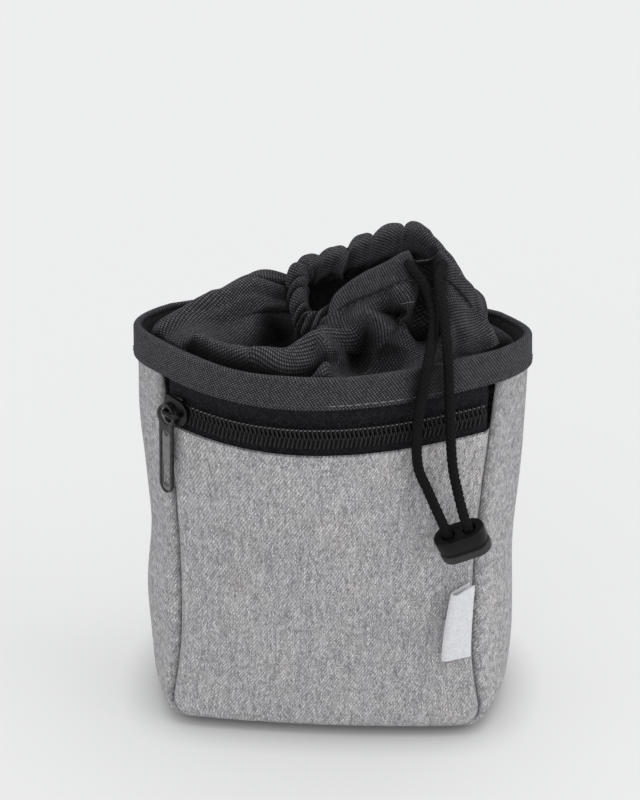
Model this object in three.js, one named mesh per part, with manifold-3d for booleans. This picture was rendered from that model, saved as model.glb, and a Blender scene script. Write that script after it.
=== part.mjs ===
// A drawstring snack bag that stands on a table: a soft grey body sewn from a front panel, a back panel
// and one U-shaped gusset, a charcoal binding round its mouth, a zip across the front, and a gathered
// charcoal collar that a black cord draws shut. Millimetres, X to the right, Y to the back, Z up, with the
// origin under the middle of the base.
import * as THREE from "three";
import { mergeVertices } from "three/addons/utils/BufferGeometryUtils.js";
import Module from "manifold-3d";

const wasm = await Module();
wasm.setup();
const { Vector2, Vector3, MathUtils } = THREE;
const { lerp, smoothstep, degToRad } = MathUtils;

// Driving sizes
const GAP = 0.3; // air between neighbouring pieces
const CLOTH = 1.5; // wall of the body panels and the collar
const TAPE = 1; // wall of the zip's tape and of the binding
const RIM_HEIGHT = 134; // top of the binding above the table
const FLOOR_LIFT = 3; // height of the bottom seams above the table
const CORNER_RADIUS = 8; // rounded bottom corners of the front and back panels
const BINDING_DROP = 10.5; // depth of the binding's legs
const ZIP_CENTRE = 21; // middle of the zip below the rim
const COIL_WIDTH = 6.4; // both rows of the zip's coil
const ZIP_INSET = 1.5; // end of the tapes short of the seams
const COIL_STOP = 2; // end of the coil short of the tapes' end, and its start under the slider
const TAPE_TUCK = 5; // how far the lower tape runs down behind the front panel
const PANEL_TOP = RIM_HEIGHT - 27.5; // turned top edge of the front panel, on the zip's lower tape
const CORD_RADIUS = 1.7; // drawcord
const COLLAR_FOOT = 16; // where the collar is sewn in, below the rim

// The body's outline at each height. seam: half-width at the seams; side: half-width at the middle of the
// gussets; front, back: how far the front and back seams lie from the middle; bow, backBow: how far each
// panel's middle stands out beyond its seams; lean: how much of the front's bow leans to the left; round:
// how full the gussets are.
const BODY_SECTIONS = [
  { z: 0, seam: 53, side: 60, front: 33, bow: 3, lean: 0, back: 33, backBow: 3, round: 0.6 },
  { z: 30, seam: 48.5, side: 62.5, front: 32, bow: 6, lean: 0, back: 32, backBow: 5, round: 0.65 },
  { z: 68, seam: 48.5, side: 62, front: 28, bow: 13, lean: 0.1, back: 29, backBow: 8, round: 0.7 },
  { z: 106, seam: 52, side: 64, front: 20, bow: 22, lean: 0.2, back: 21, backBow: 12, round: 0.85 },
  { z: 134, seam: 54.5, side: 64, front: 16, bow: 26, lean: 0.25, back: 15, backBow: 15, round: 1 },
];
const MOUTH = { centre: -6, halfWidth: 58, halfDepth: 32 }; // the lens of the mouth at the rim
const GUSSET_CORNER = 0.12; // share of the gusset's width that turns up to each bottom seam
const FOLD_ROOM = 0.6; // slack inside the binding's fold

// The collar. Its height is measured in shares: where it passes the rim and where its hem starts.
const RIM_AT = 0.1;
const HEM_AT = 0.76;
const COLLAR_LEVELS = [0, RIM_AT, 0.16, 0.22, 0.3, 0.38, 0.47, 0.57, 0.67, HEM_AT, 0.8, 0.88, 0.96, 1];
const COLLAR_COLUMNS = 64;
const STEEPEST = 0.5; // cosine of the steepest side of a fold that keeps its full wall
const COLLAR_HEIGHT = 55; // its cloth, from the seam to the top of the hem
const COLLAR_GIRTH = { foot: 0.95, hem: 0.35 }; // cloth for each degree round the bag
const HEM = { height: 9.5, swell: 3.4, lean: 0.7 }; // swell: half its thickness; lean: towards the rim
const GATHERS = { count: 17, depth: 1.3, hemLoss: 0.6, start: 0.42 }; // small pleats, flatter along the hem
const GATHERED_SIDE = { middle: 163, half: 95, fade: 10 }; // degrees round the bag that have pleats

// How the collar lies. at: degrees round the bag from its right; x, y, z: the top edge of its hem there;
// near, middle, far: how far it stands off the straight way from the rim to the hem at each quarter of it.
const COLLAR_GUIDES = [
  { at: 10, x: 46.5, y: 4, z: 148.5, near: -1, middle: -3, far: -2.5 },
  { at: 30, x: 40, y: 7, z: 157.5, near: -2.5, middle: -5, far: -3 },
  { at: 50, x: 32, y: 8.5, z: 165, near: -3, middle: -3, far: 0 },
  { at: 65, x: 25.5, y: 9, z: 166.5, near: 1, middle: 2, far: 2 },
  { at: 85, x: 15.5, y: 9.5, z: 163.5, near: 3, middle: 4, far: 2 },
  { at: 125, x: 0, y: 9.5, z: 156, near: 3, middle: 3, far: 0 },
  { at: 150, x: -6, y: 8, z: 152.5, near: 2, middle: 3, far: 0.5 },
  { at: 172, x: -9, y: 4, z: 150, near: 1, middle: 3, far: 5 },
  { at: 196, x: -8.5, y: -2, z: 145.5, near: 0.5, middle: -4, far: -4 },
  { at: 222, x: -5.5, y: -7, z: 140.5, near: 0.5, middle: -8, far: -9 },
  { at: 245, x: 0, y: -10, z: 144.5, near: 1, middle: -6, far: -8 },
  { at: 262, x: 8, y: -10, z: 155, near: 1.5, middle: -2, far: -4 },
  { at: 285, x: 17.5, y: -10, z: 160.5, near: 1.5, middle: 1, far: 1 },
  { at: 306, x: 25.5, y: -11, z: 165, near: 1.5, middle: 1, far: 0 },
  { at: 314, x: 29.7, y: -8, z: 161, near: 1.5, middle: -1, far: -2 },
  { at: 322, x: 34.5, y: -8, z: 164, near: 1.5, middle: 0, far: 0 },
  { at: 336, x: 43.5, y: -5, z: 152, near: 1, middle: 2, far: 1 },
  { at: 350, x: 47.5, y: -1, z: 146, near: -1, middle: -3, far: -2 },
];

// The collar's larger folds, each along a line. from, to: degrees round the bag; low, high: shares of the
// collar's height there; wide: half the fold's width; out: how far it stands out or goes in.
const COLLAR_FOLDS = [
  { from: 203, low: 0.25, to: 258, high: 0.22, wide: 4, out: 4.5 },
  { from: 222, low: 0.36, to: 250, high: 0.38, wide: 5, out: -4 },
  { from: 206, low: 0.56, to: 216, high: 0.6, wide: 5, out: -4 },
  { from: 234, low: 0.54, to: 243, high: 0.56, wide: 5, out: -3 },
  { from: 268, low: 0.16, to: 262, high: 0.45, wide: 4, out: 4.5 },
  { from: 262, low: 0.45, to: 257, high: 0.6, wide: 4, out: 4 },
  { from: 271, low: 0.46, to: 288, high: 0.24, wide: 5, out: -7 },
  { from: 281, low: 0.63, to: 290, high: 0.57, wide: 4.5, out: -4 },
  { from: 297, low: 0.48, to: 314, high: 0.38, wide: 5.5, out: -6 },
  { from: 291, low: 0.2, to: 309, high: 0.2, wide: 4.5, out: 3 },
  { from: 192, low: 0.3, to: 186, high: 0.5, wide: 7, out: -2.5 },
  { from: 150, low: 0.3, to: 143, high: 0.5, wide: 7, out: -3 },
  { from: 110, low: 0.25, to: 106, high: 0.5, wide: 7, out: -4 },
  { from: 76, low: 0.25, to: 78, high: 0.5, wide: 7, out: -3.5 },
];

// Where the two ends of the drawcord leave the hem, in degrees round the bag, and the way each hangs.
const EYELETS = { left: -54, right: -38, clear: 7 }; // clear: degrees without cord beside each
const EYELET_WAY = { x: 0.5, y: -4.5, z: 1 }; // from the middle of the hem to an eyelet's mouth
const TUNNEL = { clear: 0.84, sides: 6, steps: 44 }; // the cord's way round inside the hem
const CORD_STEPS = { points: 52, hem: 36, strand: 24 };
const LEFT_STRAND = [
  { x: 31, y: -18, z: 154.5 },
  { x: 33.4, y: -23, z: 146.5 },
  { x: 32, y: -34.5, z: 135.5 },
  { x: 29.9, y: -36.4, z: 122 },
  { x: 29.1, y: -36.6, z: 110 },
  { x: 29.9, y: -36.8, z: 101 },
  { x: 32.7, y: -37.5, z: 94.5 },
];
const RIGHT_STRAND = [
  { x: 34.5, y: -16, z: 158.5 },
  { x: 36.8, y: -26, z: 148.5 },
  { x: 38.2, y: -32, z: 138 },
  { x: 38.9, y: -32.5, z: 127 },
  { x: 39.5, y: -32.5, z: 114 },
  { x: 40.6, y: -34, z: 101 },
  { x: 42.3, y: -36, z: 93.5 },
];

// The oval end of the cord: its middle, its tilt in degrees, its sizes and its two holes.
const CORD_END = { x: 45, y: -38.5, z: 75.5, length: 17, width: 9.5, shell: 6, lid: 2.8 };
const CORD_END_TILT = { x: 16, y: -20, z: 8 };
const CORD_HOLES = { spacing: 7, depth: 4, lead: 3, reach: 3.5 }; // lead: straight cord above the shell

// The slider: its plate with rounded corners, the flanges that hold the coil and the crown for the pull.
const SLIDER = { x: -47.5, length: 11, height: 10, plate: 1.2, clear: 0.7 };
const PLATE_EDGE = { taper: 1, corner: 1.5, shoulder: 2 };
const FLANGE = { from: -4, to: 2, thick: 1, edge: 0.3, grip: 0.9 };
const CROWN = { reach: 3, bar: 1.6, height: 3.8 };
const PULL = { thick: 1.2, eye: 3, rim: 1.2, width: 5.8, length: 31.5, clear: 0.5, play: 0.1 };
const PULL_SLOT = { width: 2, length: 3.2, drop: 1.6 }; // small slot below the eye
const PULL_HOLE = { width: 3, length: 7.6, rise: 5.6 }; // long hole near the pull's end
const PULL_RECESS = { width: 3.6, length: 10.5, drop: 4.3, depth: 0.3 }; // sunk face between them
const WELD = 0.2; // how far lumps of one casting run into each other

const LABEL = { bottom: 32, height: 25, width: 10, ply: 0.6, fold: 0.9, inset: 0.5 };
const LABEL_LEAN = { bottom: 26, top: 52 }; // degrees that the ribbon stands off the panel

const FINISHES = {
  greyCloth: { color: 0xa5a3a2, roughness: 0.9, metalness: 0 },
  charcoalCloth: { color: 0x46464a, roughness: 0.92, metalness: 0 },
  zipTape: { color: 0x1b1b1d, roughness: 0.85, metalness: 0 },
  zipCoil: { color: 0x1e1e20, roughness: 0.45, metalness: 0 },
  gunmetal: { color: 0x5a5f61, roughness: 0.35, metalness: 0.9 },
  blackCord: { color: 0x191919, roughness: 0.8, metalness: 0 },
  blackPlastic: { color: 0x1b1b1d, roughness: 0.3, metalness: 0 },
  whiteRibbon: { color: 0xdcdade, roughness: 0.8, metalness: 0 },
};

// Rows of a table as a smooth function of one of their columns.
function tableOf(rows, key) {
  const columns = Object.keys(rows[0]).filter((name) => name !== key);
  const curve = new THREE.CubicInterpolant(
    rows.map((row) => row[key]),
    rows.flatMap((row) => columns.map((name) => row[name])),
    columns.length,
  );
  return (at) => {
    const values = [...curve.evaluate(at)];
    return Object.fromEntries(columns.map((name, i) => [name, values[i]]));
  };
}

const steps = (count, from, to) => Array.from({ length: count + 1 }, (_, i) => lerp(from, to, i / count));

// A closed body of points and triangles, turned so that its faces point out.
function bodyOf(points, triangles) {
  let volume = 0;
  for (let i = 0; i < triangles.length; i += 3) {
    const [a, b, c] = [0, 1, 2].map((k) => points[triangles[i + k]]);
    volume += a.dot(new Vector3().crossVectors(b, c));
  }
  const geometry = new THREE.BufferGeometry().setFromPoints(points);
  geometry.setIndex(volume < 0 ? triangles.slice().reverse() : triangles);
  return geometry;
}

// A wall between two grids of points, joined round its edges; a closed one runs round along its rows.
function wallOf(outer, inner, closed = false) {
  const rows = outer.length;
  const columns = outer[0].length;
  const at = (face, row, column) => (face * rows + row) * columns + (column % columns);
  const triangles = [];
  const quad = (a, b, c, d) => triangles.push(a, b, c, a, c, d);
  for (let r = 0; r < rows - 1; r++) {
    for (let c = 0; c < (closed ? columns : columns - 1); c++) {
      quad(at(0, r, c), at(0, r, c + 1), at(0, r + 1, c + 1), at(0, r + 1, c));
      quad(at(1, r, c), at(1, r + 1, c), at(1, r + 1, c + 1), at(1, r, c + 1));
    }
    if (!closed) {
      quad(at(0, r, 0), at(0, r + 1, 0), at(1, r + 1, 0), at(1, r, 0));
      const last = columns - 1;
      quad(at(0, r, last), at(1, r, last), at(1, r + 1, last), at(0, r + 1, last));
    }
  }
  for (let c = 0; c < (closed ? columns : columns - 1); c++) {
    quad(at(0, 0, c), at(1, 0, c), at(1, 0, c + 1), at(0, 0, c + 1));
    const top = rows - 1;
    quad(at(0, top, c), at(0, top, c + 1), at(1, top, c + 1), at(1, top, c));
  }
  return bodyOf([...outer.flat(), ...inner.flat()], triangles);
}

// A body from closed sections, one after another along a path: a loop if closed, else capped at both ends.
function sweepOf(sections, closed = false) {
  const count = sections.length;
  const sides = sections[0].length;
  const at = (section, side) => (section % count) * sides + (side % sides);
  const triangles = [];
  for (let s = 0; s < (closed ? count : count - 1); s++) {
    for (let k = 0; k < sides; k++) {
      triangles.push(at(s, k), at(s, k + 1), at(s + 1, k + 1));
      triangles.push(at(s, k), at(s + 1, k + 1), at(s + 1, k));
    }
  }
  for (let k = 1; !closed && k < sides - 1; k++) {
    triangles.push(at(0, 0), at(0, k + 1), at(0, k));
    triangles.push(at(count - 1, 0), at(count - 1, k), at(count - 1, k + 1));
  }
  return bodyOf(sections.flat(), triangles);
}

// Unit normals of a grid of points, from its neighbours along rows and columns.
function normalsOf(grid, closed = false) {
  const rows = grid.length;
  const columns = grid[0].length;
  const wrap = (c) => (closed ? (c + columns) % columns : MathUtils.clamp(c, 0, columns - 1));
  return grid.map((row, r) =>
    row.map((_, c) => {
      const along = row[wrap(c + 1)].clone().sub(row[wrap(c - 1)]);
      const up = grid[Math.min(r + 1, rows - 1)][c].clone().sub(grid[Math.max(r - 1, 0)][c]);
      return along.cross(up).normalize();
    }),
  );
}

const shifted = (grid, normals, distance) =>
  grid.map((row, r) => row.map((point, c) => point.clone().addScaledVector(normals[r][c], distance)));

// A round cord of eight sides along a smooth path through points.
function cordOf(points, radius, steps) {
  const section = new THREE.Shape().absarc(0, 0, radius, 0, Math.PI * 2);
  const extrudePath = new THREE.CatmullRomCurve3(points);
  return new THREE.ExtrudeGeometry(section, { steps, extrudePath, curveSegments: 4 });
}

function solidOf(geometry) {
  const plain = geometry.clone();
  plain.deleteAttribute("normal");
  plain.deleteAttribute("uv");
  const merged = mergeVertices(plain, 1e-4);
  return new wasm.Manifold(
    new wasm.Mesh({
      numProp: 3,
      vertProperties: merged.attributes.position.array,
      triVerts: new Uint32Array(merged.index.array),
    }),
  );
}

function geometryOf(solid) {
  const mesh = solid.getMesh();
  return new THREE.BufferGeometry()
    .setAttribute("position", new THREE.BufferAttribute(mesh.vertProperties, 3))
    .setIndex(new THREE.BufferAttribute(mesh.triVerts, 1));
}

const extruded = (shape, depth, curveSegments = 10) =>
  new THREE.ExtrudeGeometry(shape, { depth, bevelEnabled: false, curveSegments });

// A slot with round ends, along the second axis of its plane.
function slotPath(Path, x, y, width, length) {
  const radius = width / 2;
  const straight = length / 2 - radius;
  const path = new Path();
  path.absarc(x, y + straight, radius, 0, Math.PI);
  path.absarc(x, y - straight, radius, Math.PI, Math.PI * 2);
  path.closePath();
  return path;
}

// A box between two corners.
function boxBetween(low, high) {
  const size = high.map((value, i) => value - low[i]);
  const middle = high.map((value, i) => (value + low[i]) / 2);
  return solidOf(new THREE.BoxGeometry(...size).translate(...middle));
}

const bag = new THREE.Group();
function addPiece(name, geometry, finish, parent = bag) {
  const mesh = new THREE.Mesh(geometry, new THREE.MeshStandardMaterial(finish));
  mesh.name = name;
  parent.add(mesh);
  return mesh;
}

// The body's surfaces
const bodyAt = tableOf(BODY_SECTIONS, "z");
function frontY(x, z) {
  const { seam, front, bow, lean } = bodyAt(z);
  const share = x / seam;
  return -(front + bow * (1 - share * share) * (1 - lean * share));
}
function backY(x, z) {
  const { seam, back, backBow } = bodyAt(z);
  return back + backBow * (1 - (x / seam) ** 2);
}
const gussetRound = (across, round) => Math.sin(Math.PI * across) ** round;
const gussetFlat = (across) => Math.min(1, Math.min(across, 1 - across) / GUSSET_CORNER);

// One panel's edge from the base up: the rounded bottom corner, then the straight side.
const bodyTop = RIM_HEIGHT - TAPE - FOLD_ROOM - 2 * GAP;
function edgeStations(top, cornerSteps, sideSteps) {
  const corner = steps(cornerSteps, Math.PI / 2, 0).map((turn) => ({
    turn,
    z: FLOOR_LIFT + CORNER_RADIUS * (1 - Math.sin(turn)),
    inset: CORNER_RADIUS * (1 - Math.cos(turn)),
  }));
  const side = steps(sideSteps, FLOOR_LIFT + CORNER_RADIUS, top).slice(1);
  return [...corner, ...side.map((z) => ({ turn: 0, z, inset: 0 }))];
}

function panelOf(top, surface, inward, columns, rows) {
  const outer = edgeStations(top, 4, rows).map(({ z, inset }) => {
    const half = bodyAt(z).seam - inset;
    return steps(columns, -half, half).map((x) => new Vector3(x, surface(x, z), z));
  });
  const inner = outer.map((row) => row.map((p) => new Vector3(p.x, p.y + inward * CLOTH, p.z)));
  return wallOf(outer, inner);
}

addPiece("front_panel", panelOf(PANEL_TOP, frontY, 1, 14, 8), FINISHES.greyCloth);
addPiece("back_panel", panelOf(bodyTop, backY, -1, 12, 8), FINISHES.greyCloth);

// The gusset: down the left side, under the base and up the right side, sewn between the panels.
function gussetRow({ side, x, z, turn }, across) {
  const { seam, side: widest, round } = bodyAt(z);
  const front = frontY(x, z) + CLOTH + GAP;
  const back = backY(x, z) - CLOTH - GAP;
  const share = (turn / (Math.PI / 2)) ** 2;
  const sideSwell = (widest - seam) * gussetRound(across, round);
  const swell = lerp(sideSwell, FLOOR_LIFT * gussetFlat(across), share);
  return new Vector3(
    x + side * swell * Math.cos(turn),
    lerp(front, back, across),
    Math.max(0, z - swell * Math.sin(turn)),
  );
}
const rightEdge = edgeStations(bodyTop, 4, 8).map(({ turn, z, inset }) => ({
  side: 1,
  x: bodyAt(z).seam - inset,
  z,
  turn,
}));
const leftEdge = rightEdge.map((station) => ({ ...station, side: -1, x: -station.x })).reverse();
const baseEdge = steps(5, leftEdge.at(-1).x, rightEdge[0].x)
  .slice(1, -1)
  .map((x) => ({ side: 1, x, z: FLOOR_LIFT, turn: Math.PI / 2 }));
const gussetAcross = steps(10, 0, 1);
const gussetOuter = [...leftEdge, ...baseEdge, ...rightEdge].map((station) =>
  gussetAcross.map((across) => gussetRow(station, across)),
);
const gussetInner = shifted(gussetOuter, normalsOf(gussetOuter), -CLOTH);
addPiece("gusset", wallOf(gussetOuter, gussetInner), FINISHES.greyCloth);

// The outline of the body at one height, round from the front right seam by the back, moved out a little.
function outlineAt(z, out, gussetSteps = 10, panelSteps = 14) {
  const { seam, side, round } = bodyAt(z);
  const swell = (across) => (side - seam) * gussetRound(across, round);
  const front = frontY(seam, z);
  const back = backY(seam, z);
  const shares = (count) => steps(count, 0, 1).slice(0, -1);
  const loop = [
    ...shares(gussetSteps).map((w) => new Vector2(seam + swell(w), lerp(front, back, w))),
    ...shares(panelSteps).map((w) => lerp(seam, -seam, w)).map((x) => new Vector2(x, backY(x, z))),
    ...shares(gussetSteps).map((w) => new Vector2(-seam - swell(w), lerp(back, front, w))),
    ...shares(panelSteps).map((w) => lerp(-seam, seam, w)).map((x) => new Vector2(x, frontY(x, z))),
  ];
  return loop.map((point, i) => {
    const before = loop.at(i - 1);
    const after = loop[(i + 1) % loop.length];
    const along = after.clone().sub(before).normalize();
    return new Vector3(point.x + along.y * out, point.y - along.x * out, z);
  });
}

// The binding: a folded strip over the top edge of the body. out: from the body's outer face; down: from
// the rim.
const innerLeg = -(CLOTH + 2 * GAP + TAPE + FOLD_ROOM);
const BINDING_SECTION = [
  { out: GAP + TAPE, down: BINDING_DROP },
  { out: GAP + TAPE, down: 1.6 },
  { out: GAP + TAPE - 0.7, down: 0.3 },
  { out: GAP, down: 0 },
  { out: innerLeg, down: 0 },
  { out: innerLeg - TAPE + 0.3, down: 0.3 },
  { out: innerLeg - TAPE, down: 1.6 },
  { out: innerLeg - TAPE, down: BINDING_DROP },
  { out: innerLeg, down: BINDING_DROP },
  { out: innerLeg, down: TAPE + FOLD_ROOM },
  { out: GAP, down: TAPE + FOLD_ROOM },
  { out: GAP, down: BINDING_DROP },
];
const bindingLoops = BINDING_SECTION.map(({ out, down }) => outlineAt(RIM_HEIGHT - down, out));
const bindingSections = bindingLoops[0].map((_, i) => bindingLoops.map((loop) => loop[i]));
addPiece("mouth_binding", sweepOf(bindingSections, true), FINISHES.charcoalCloth);

// The zip across the front: two tapes set behind the panel's face, and the closed coil in front of them.
const zipZ = RIM_HEIGHT - ZIP_CENTRE;
const tapeSetBack = CLOTH + GAP;
function stripOf(bottom, top, left, right, setBack, thickness, rows) {
  const outer = steps(rows, bottom, top).map((z) =>
    steps(22, left, right).map((x) => new Vector3(x, frontY(x, z) + setBack, z)),
  );
  return wallOf(outer, outer.map((row) => row.map((p) => new Vector3(p.x, p.y + thickness, p.z))));
}
const zipEnd = bodyAt(zipZ).seam - ZIP_INSET;
addPiece(
  "zip_tape_upper",
  stripOf(zipZ + GAP, bodyTop, -zipEnd, zipEnd, tapeSetBack, TAPE, 3),
  FINISHES.zipTape,
);
addPiece(
  "zip_tape_lower",
  stripOf(PANEL_TOP - TAPE_TUCK, zipZ - GAP, -zipEnd, zipEnd, tapeSetBack, TAPE, 2),
  FINISHES.zipTape,
);

// The coil's section. up: from the middle of the zip; out: from the body's face.
const coilHalf = COIL_WIDTH / 2;
const COIL_SECTION = [
  { up: -coilHalf, out: -1.5 },
  { up: -coilHalf, out: -0.4 },
  { up: -coilHalf + 0.9, out: 0.3 },
  { up: 0, out: 0 },
  { up: coilHalf - 0.9, out: 0.3 },
  { up: coilHalf, out: -0.4 },
  { up: coilHalf, out: -1.5 },
];
const coilLeft = SLIDER.x + SLIDER.length / 2 - COIL_STOP;
const coilSections = steps(24, coilLeft, zipEnd - COIL_STOP).map((x) =>
  COIL_SECTION.map(({ up, out }) => new Vector3(x, frontY(x, zipZ + up) - out, zipZ + up)),
);
addPiece("zip_coil", sweepOf(coilSections), FINISHES.zipCoil);

// The slider and its pull, in a group that lies on the front: X along the zip, Y into the bag, Z up.
const zipSlider = new THREE.Group();
const aside = (dx, dz) =>
  new Vector3(dx, frontY(SLIDER.x + dx, zipZ + dz), dz).sub(
    new Vector3(-dx, frontY(SLIDER.x - dx, zipZ - dz), -dz),
  );
const along = aside(1, 0).normalize();
const into = aside(0, SLIDER.height / 2).cross(along).normalize();
zipSlider.matrix.makeBasis(along, into, along.clone().cross(into));
zipSlider.matrix.setPosition(SLIDER.x, frontY(SLIDER.x, zipZ), zipZ);
zipSlider.matrix.decompose(zipSlider.position, zipSlider.quaternion, zipSlider.scale);
bag.add(zipSlider);

const plateFace = -(SLIDER.clear + SLIDER.plate);
const plateEnd = SLIDER.length / 2;
const plateTop = SLIDER.height / 2;
const plateShape = new THREE.Shape();
plateShape.moveTo(-plateEnd, -plateTop + PLATE_EDGE.corner);
plateShape.quadraticCurveTo(-plateEnd, -plateTop, -plateEnd + PLATE_EDGE.shoulder, -plateTop);
plateShape.lineTo(plateEnd - PLATE_EDGE.taper, -plateTop + PLATE_EDGE.taper);
plateShape.quadraticCurveTo(plateEnd, 0, plateEnd - PLATE_EDGE.taper, plateTop - PLATE_EDGE.taper);
plateShape.lineTo(-plateEnd + PLATE_EDGE.shoulder, plateTop);
plateShape.quadraticCurveTo(-plateEnd, plateTop, -plateEnd, plateTop - PLATE_EDGE.corner);
plateShape.closePath();
const plate = extruded(plateShape, SLIDER.plate, 4).rotateX(Math.PI / 2).translate(0, -SLIDER.clear, 0);
const crownTop = plateFace - CROWN.height;
const crownHalf = CROWN.bar / 2;
const crownEnd = CROWN.reach + crownHalf;
const flangeTop = plateTop - FLANGE.edge;
let slider = solidOf(plate).add(
  boxBetween([-crownEnd, crownTop, -crownHalf], [crownEnd, crownTop + CROWN.bar, crownHalf]),
);
for (const side of [-1, 1]) {
  const flangeZ = [side * flangeTop, side * (flangeTop - FLANGE.thick)].sort((a, b) => a - b);
  const legX = side * CROWN.reach;
  slider = slider
    .add(boxBetween([FLANGE.from, -SLIDER.clear - WELD, flangeZ[0]], [FLANGE.to, FLANGE.grip, flangeZ[1]]))
    .add(
      boxBetween([legX - crownHalf, crownTop, -crownHalf], [legX + crownHalf, plateFace + WELD, crownHalf]),
    );
}
addPiece("zip_slider", geometryOf(slider), FINISHES.gunmetal, zipSlider);

// The pull hangs by its eye on the crown's left leg; its origin is that leg's axis.
const eyeDrop = PULL.eye - crownHalf * Math.SQRT2 - PULL.play;
const eyeOuter = PULL.eye + PULL.rim;
const eyeBottom = -eyeDrop - eyeOuter;
const pullBottom = eyeOuter - eyeDrop - PULL.length;
const pullHalf = PULL.width / 2;
const neck = Math.asin(pullHalf / eyeOuter);
const pullShape = new THREE.Shape();
pullShape.absarc(0, -eyeDrop, eyeOuter, -Math.PI / 2 + neck, (3 * Math.PI) / 2 - neck);
pullShape.lineTo(-pullHalf, pullBottom + pullHalf);
pullShape.absarc(0, pullBottom + pullHalf, pullHalf, Math.PI, Math.PI * 2);
pullShape.closePath();
const eyeHole = new THREE.Path();
eyeHole.absarc(0, -eyeDrop, PULL.eye, 0, Math.PI * 2);
pullShape.holes.push(
  eyeHole,
  slotPath(THREE.Path, 0, eyeBottom - PULL_SLOT.drop, PULL_SLOT.width, PULL_SLOT.length),
  slotPath(THREE.Path, 0, pullBottom + PULL_HOLE.rise, PULL_HOLE.width, PULL_HOLE.length),
);
const pullBlank = solidOf(extruded(pullShape, PULL.thick, 8).rotateX(Math.PI / 2));
const recessTop = eyeBottom - PULL_RECESS.drop;
const recess = boxBetween(
  [-PULL_RECESS.width / 2, -PULL.thick - PULL_RECESS.depth, recessTop - PULL_RECESS.length],
  [PULL_RECESS.width / 2, -PULL.thick + PULL_RECESS.depth, recessTop],
);
const zipPull = addPiece("zip_pull", geometryOf(pullBlank.subtract(recess)), FINISHES.gunmetal, zipSlider);
zipPull.position.set(-CROWN.reach, plateFace - PULL.clear, 0);

// The collar: from its seam inside the body up past the binding, then in to the gathered hem round the cord.
const guideAt = tableOf(
  [-1, 0, 1].flatMap((turn) => COLLAR_GUIDES.map((row) => ({ ...row, at: row.at + 360 * turn }))),
  "at",
);
function hemAt(degrees) {
  const { x, y, z } = guideAt(MathUtils.euclideanModulo(degrees, 360));
  const top = new Vector3(x, y, z);
  const angle = degToRad(degrees);
  const rimX = MOUTH.halfWidth * Math.cos(angle);
  const rimY = MOUTH.centre + MOUTH.halfDepth * Math.sin(angle);
  const down = new Vector3(rimX, rimY, RIM_HEIGHT).sub(top).setLength(HEM.lean);
  down.z -= 1;
  return { top, foot: top.clone().addScaledVector(down.normalize(), HEM.height) };
}
function hemMiddle(degrees) {
  const { top, foot } = hemAt(degrees);
  return top.lerp(foot, 0.5);
}
const collarInset = innerLeg - TAPE - GAP - CLOTH / 2 - WELD;
function collarLoop(z) {
  const loop = new THREE.CatmullRomCurve3(outlineAt(z, collarInset), true);
  return loop.getSpacedPoints(COLLAR_COLUMNS).slice(0, -1);
}
const footLoop = collarLoop(RIM_HEIGHT - COLLAR_FOOT);
const rimLoop = collarLoop(RIM_HEIGHT - TAPE);
const columnDegrees = rimLoop.map(({ x, y }) =>
  MathUtils.radToDeg(Math.atan2((y - MOUTH.centre) / MOUTH.halfDepth, x / MOUTH.halfWidth)),
);
function collarMiddle(column, level) {
  const degrees = columnDegrees[column];
  const rim = rimLoop[column];
  const hem = hemAt(degrees);
  if (level <= RIM_AT) return footLoop[column].clone().lerp(rim, level / RIM_AT);
  if (level >= HEM_AT) return hem.foot.lerp(hem.top, (level - HEM_AT) / (1 - HEM_AT));
  const { near, middle, far } = guideAt(MathUtils.euclideanModulo(degrees, 360));
  const standOff = new THREE.CubicInterpolant(steps(4, RIM_AT, HEM_AT), [0, near, middle, far, 0], 1);
  const along = rimLoop[(column + 1) % COLLAR_COLUMNS].clone().sub(rimLoop.at(column - 1));
  const outward = along.cross(hem.foot.clone().sub(rim)).normalize();
  const straight = rim.clone().lerp(hem.foot, (level - RIM_AT) / (HEM_AT - RIM_AT));
  return straight.addScaledVector(outward, standOff.evaluate(level)[0]);
}

// How far the collar's pleats and folds stand out from its middle.
const turnBetween = (a, b) => MathUtils.euclideanModulo(a - b + 180, 360) - 180;
function flatPlace(degrees, level, origin) {
  const girth = lerp(COLLAR_GIRTH.foot, COLLAR_GIRTH.hem, level);
  return new Vector3(turnBetween(degrees, origin) * girth, COLLAR_HEIGHT * level, 0);
}
function foldStrength({ from, low, to, high, wide }, degrees, level) {
  const line = new THREE.Line3(flatPlace(from, low, from), flatPlace(to, high, from));
  const place = flatPlace(degrees, level, from);
  const nearest = line.closestPointToPoint(place, true, new Vector3());
  return Math.exp(-((place.distanceTo(nearest) / wide) ** 2));
}
function collarFold(column, level) {
  const degrees = columnDegrees[column];
  const fromMiddle = Math.abs(turnBetween(degrees, GATHERED_SIDE.middle));
  const ends = [GATHERED_SIDE.half - GATHERED_SIDE.fade, GATHERED_SIDE.half + GATHERED_SIDE.fade];
  const gathered = 1 - smoothstep(fromMiddle, ...ends);
  const growth = level < HEM_AT ? smoothstep(level, GATHERS.start, HEM_AT) : 1 - GATHERS.hemLoss;
  const pleat = GATHERS.depth * gathered * growth * Math.cos(GATHERS.count * degToRad(degrees));
  if (level <= RIM_AT || level >= HEM_AT) return pleat;
  return COLLAR_FOLDS.reduce((out, fold) => out + fold.out * foldStrength(fold, degrees, level), pleat);
}
function collarHalf(level) {
  if (level < HEM_AT) return CLOTH / 2;
  return lerp(CLOTH / 2, HEM.swell, Math.sin((Math.PI * (level - HEM_AT)) / (1 - HEM_AT)));
}
const collarMid = COLLAR_LEVELS.map((level) => rimLoop.map((_, column) => collarMiddle(column, level)));
const collarNormals = normalsOf(collarMid, true);
const collarFolded = collarMid.map((row, r) =>
  row.map((point, c) => point.clone().addScaledVector(collarNormals[r][c], collarFold(c, COLLAR_LEVELS[r]))),
);
const foldedNormals = normalsOf(collarFolded, true);
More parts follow.
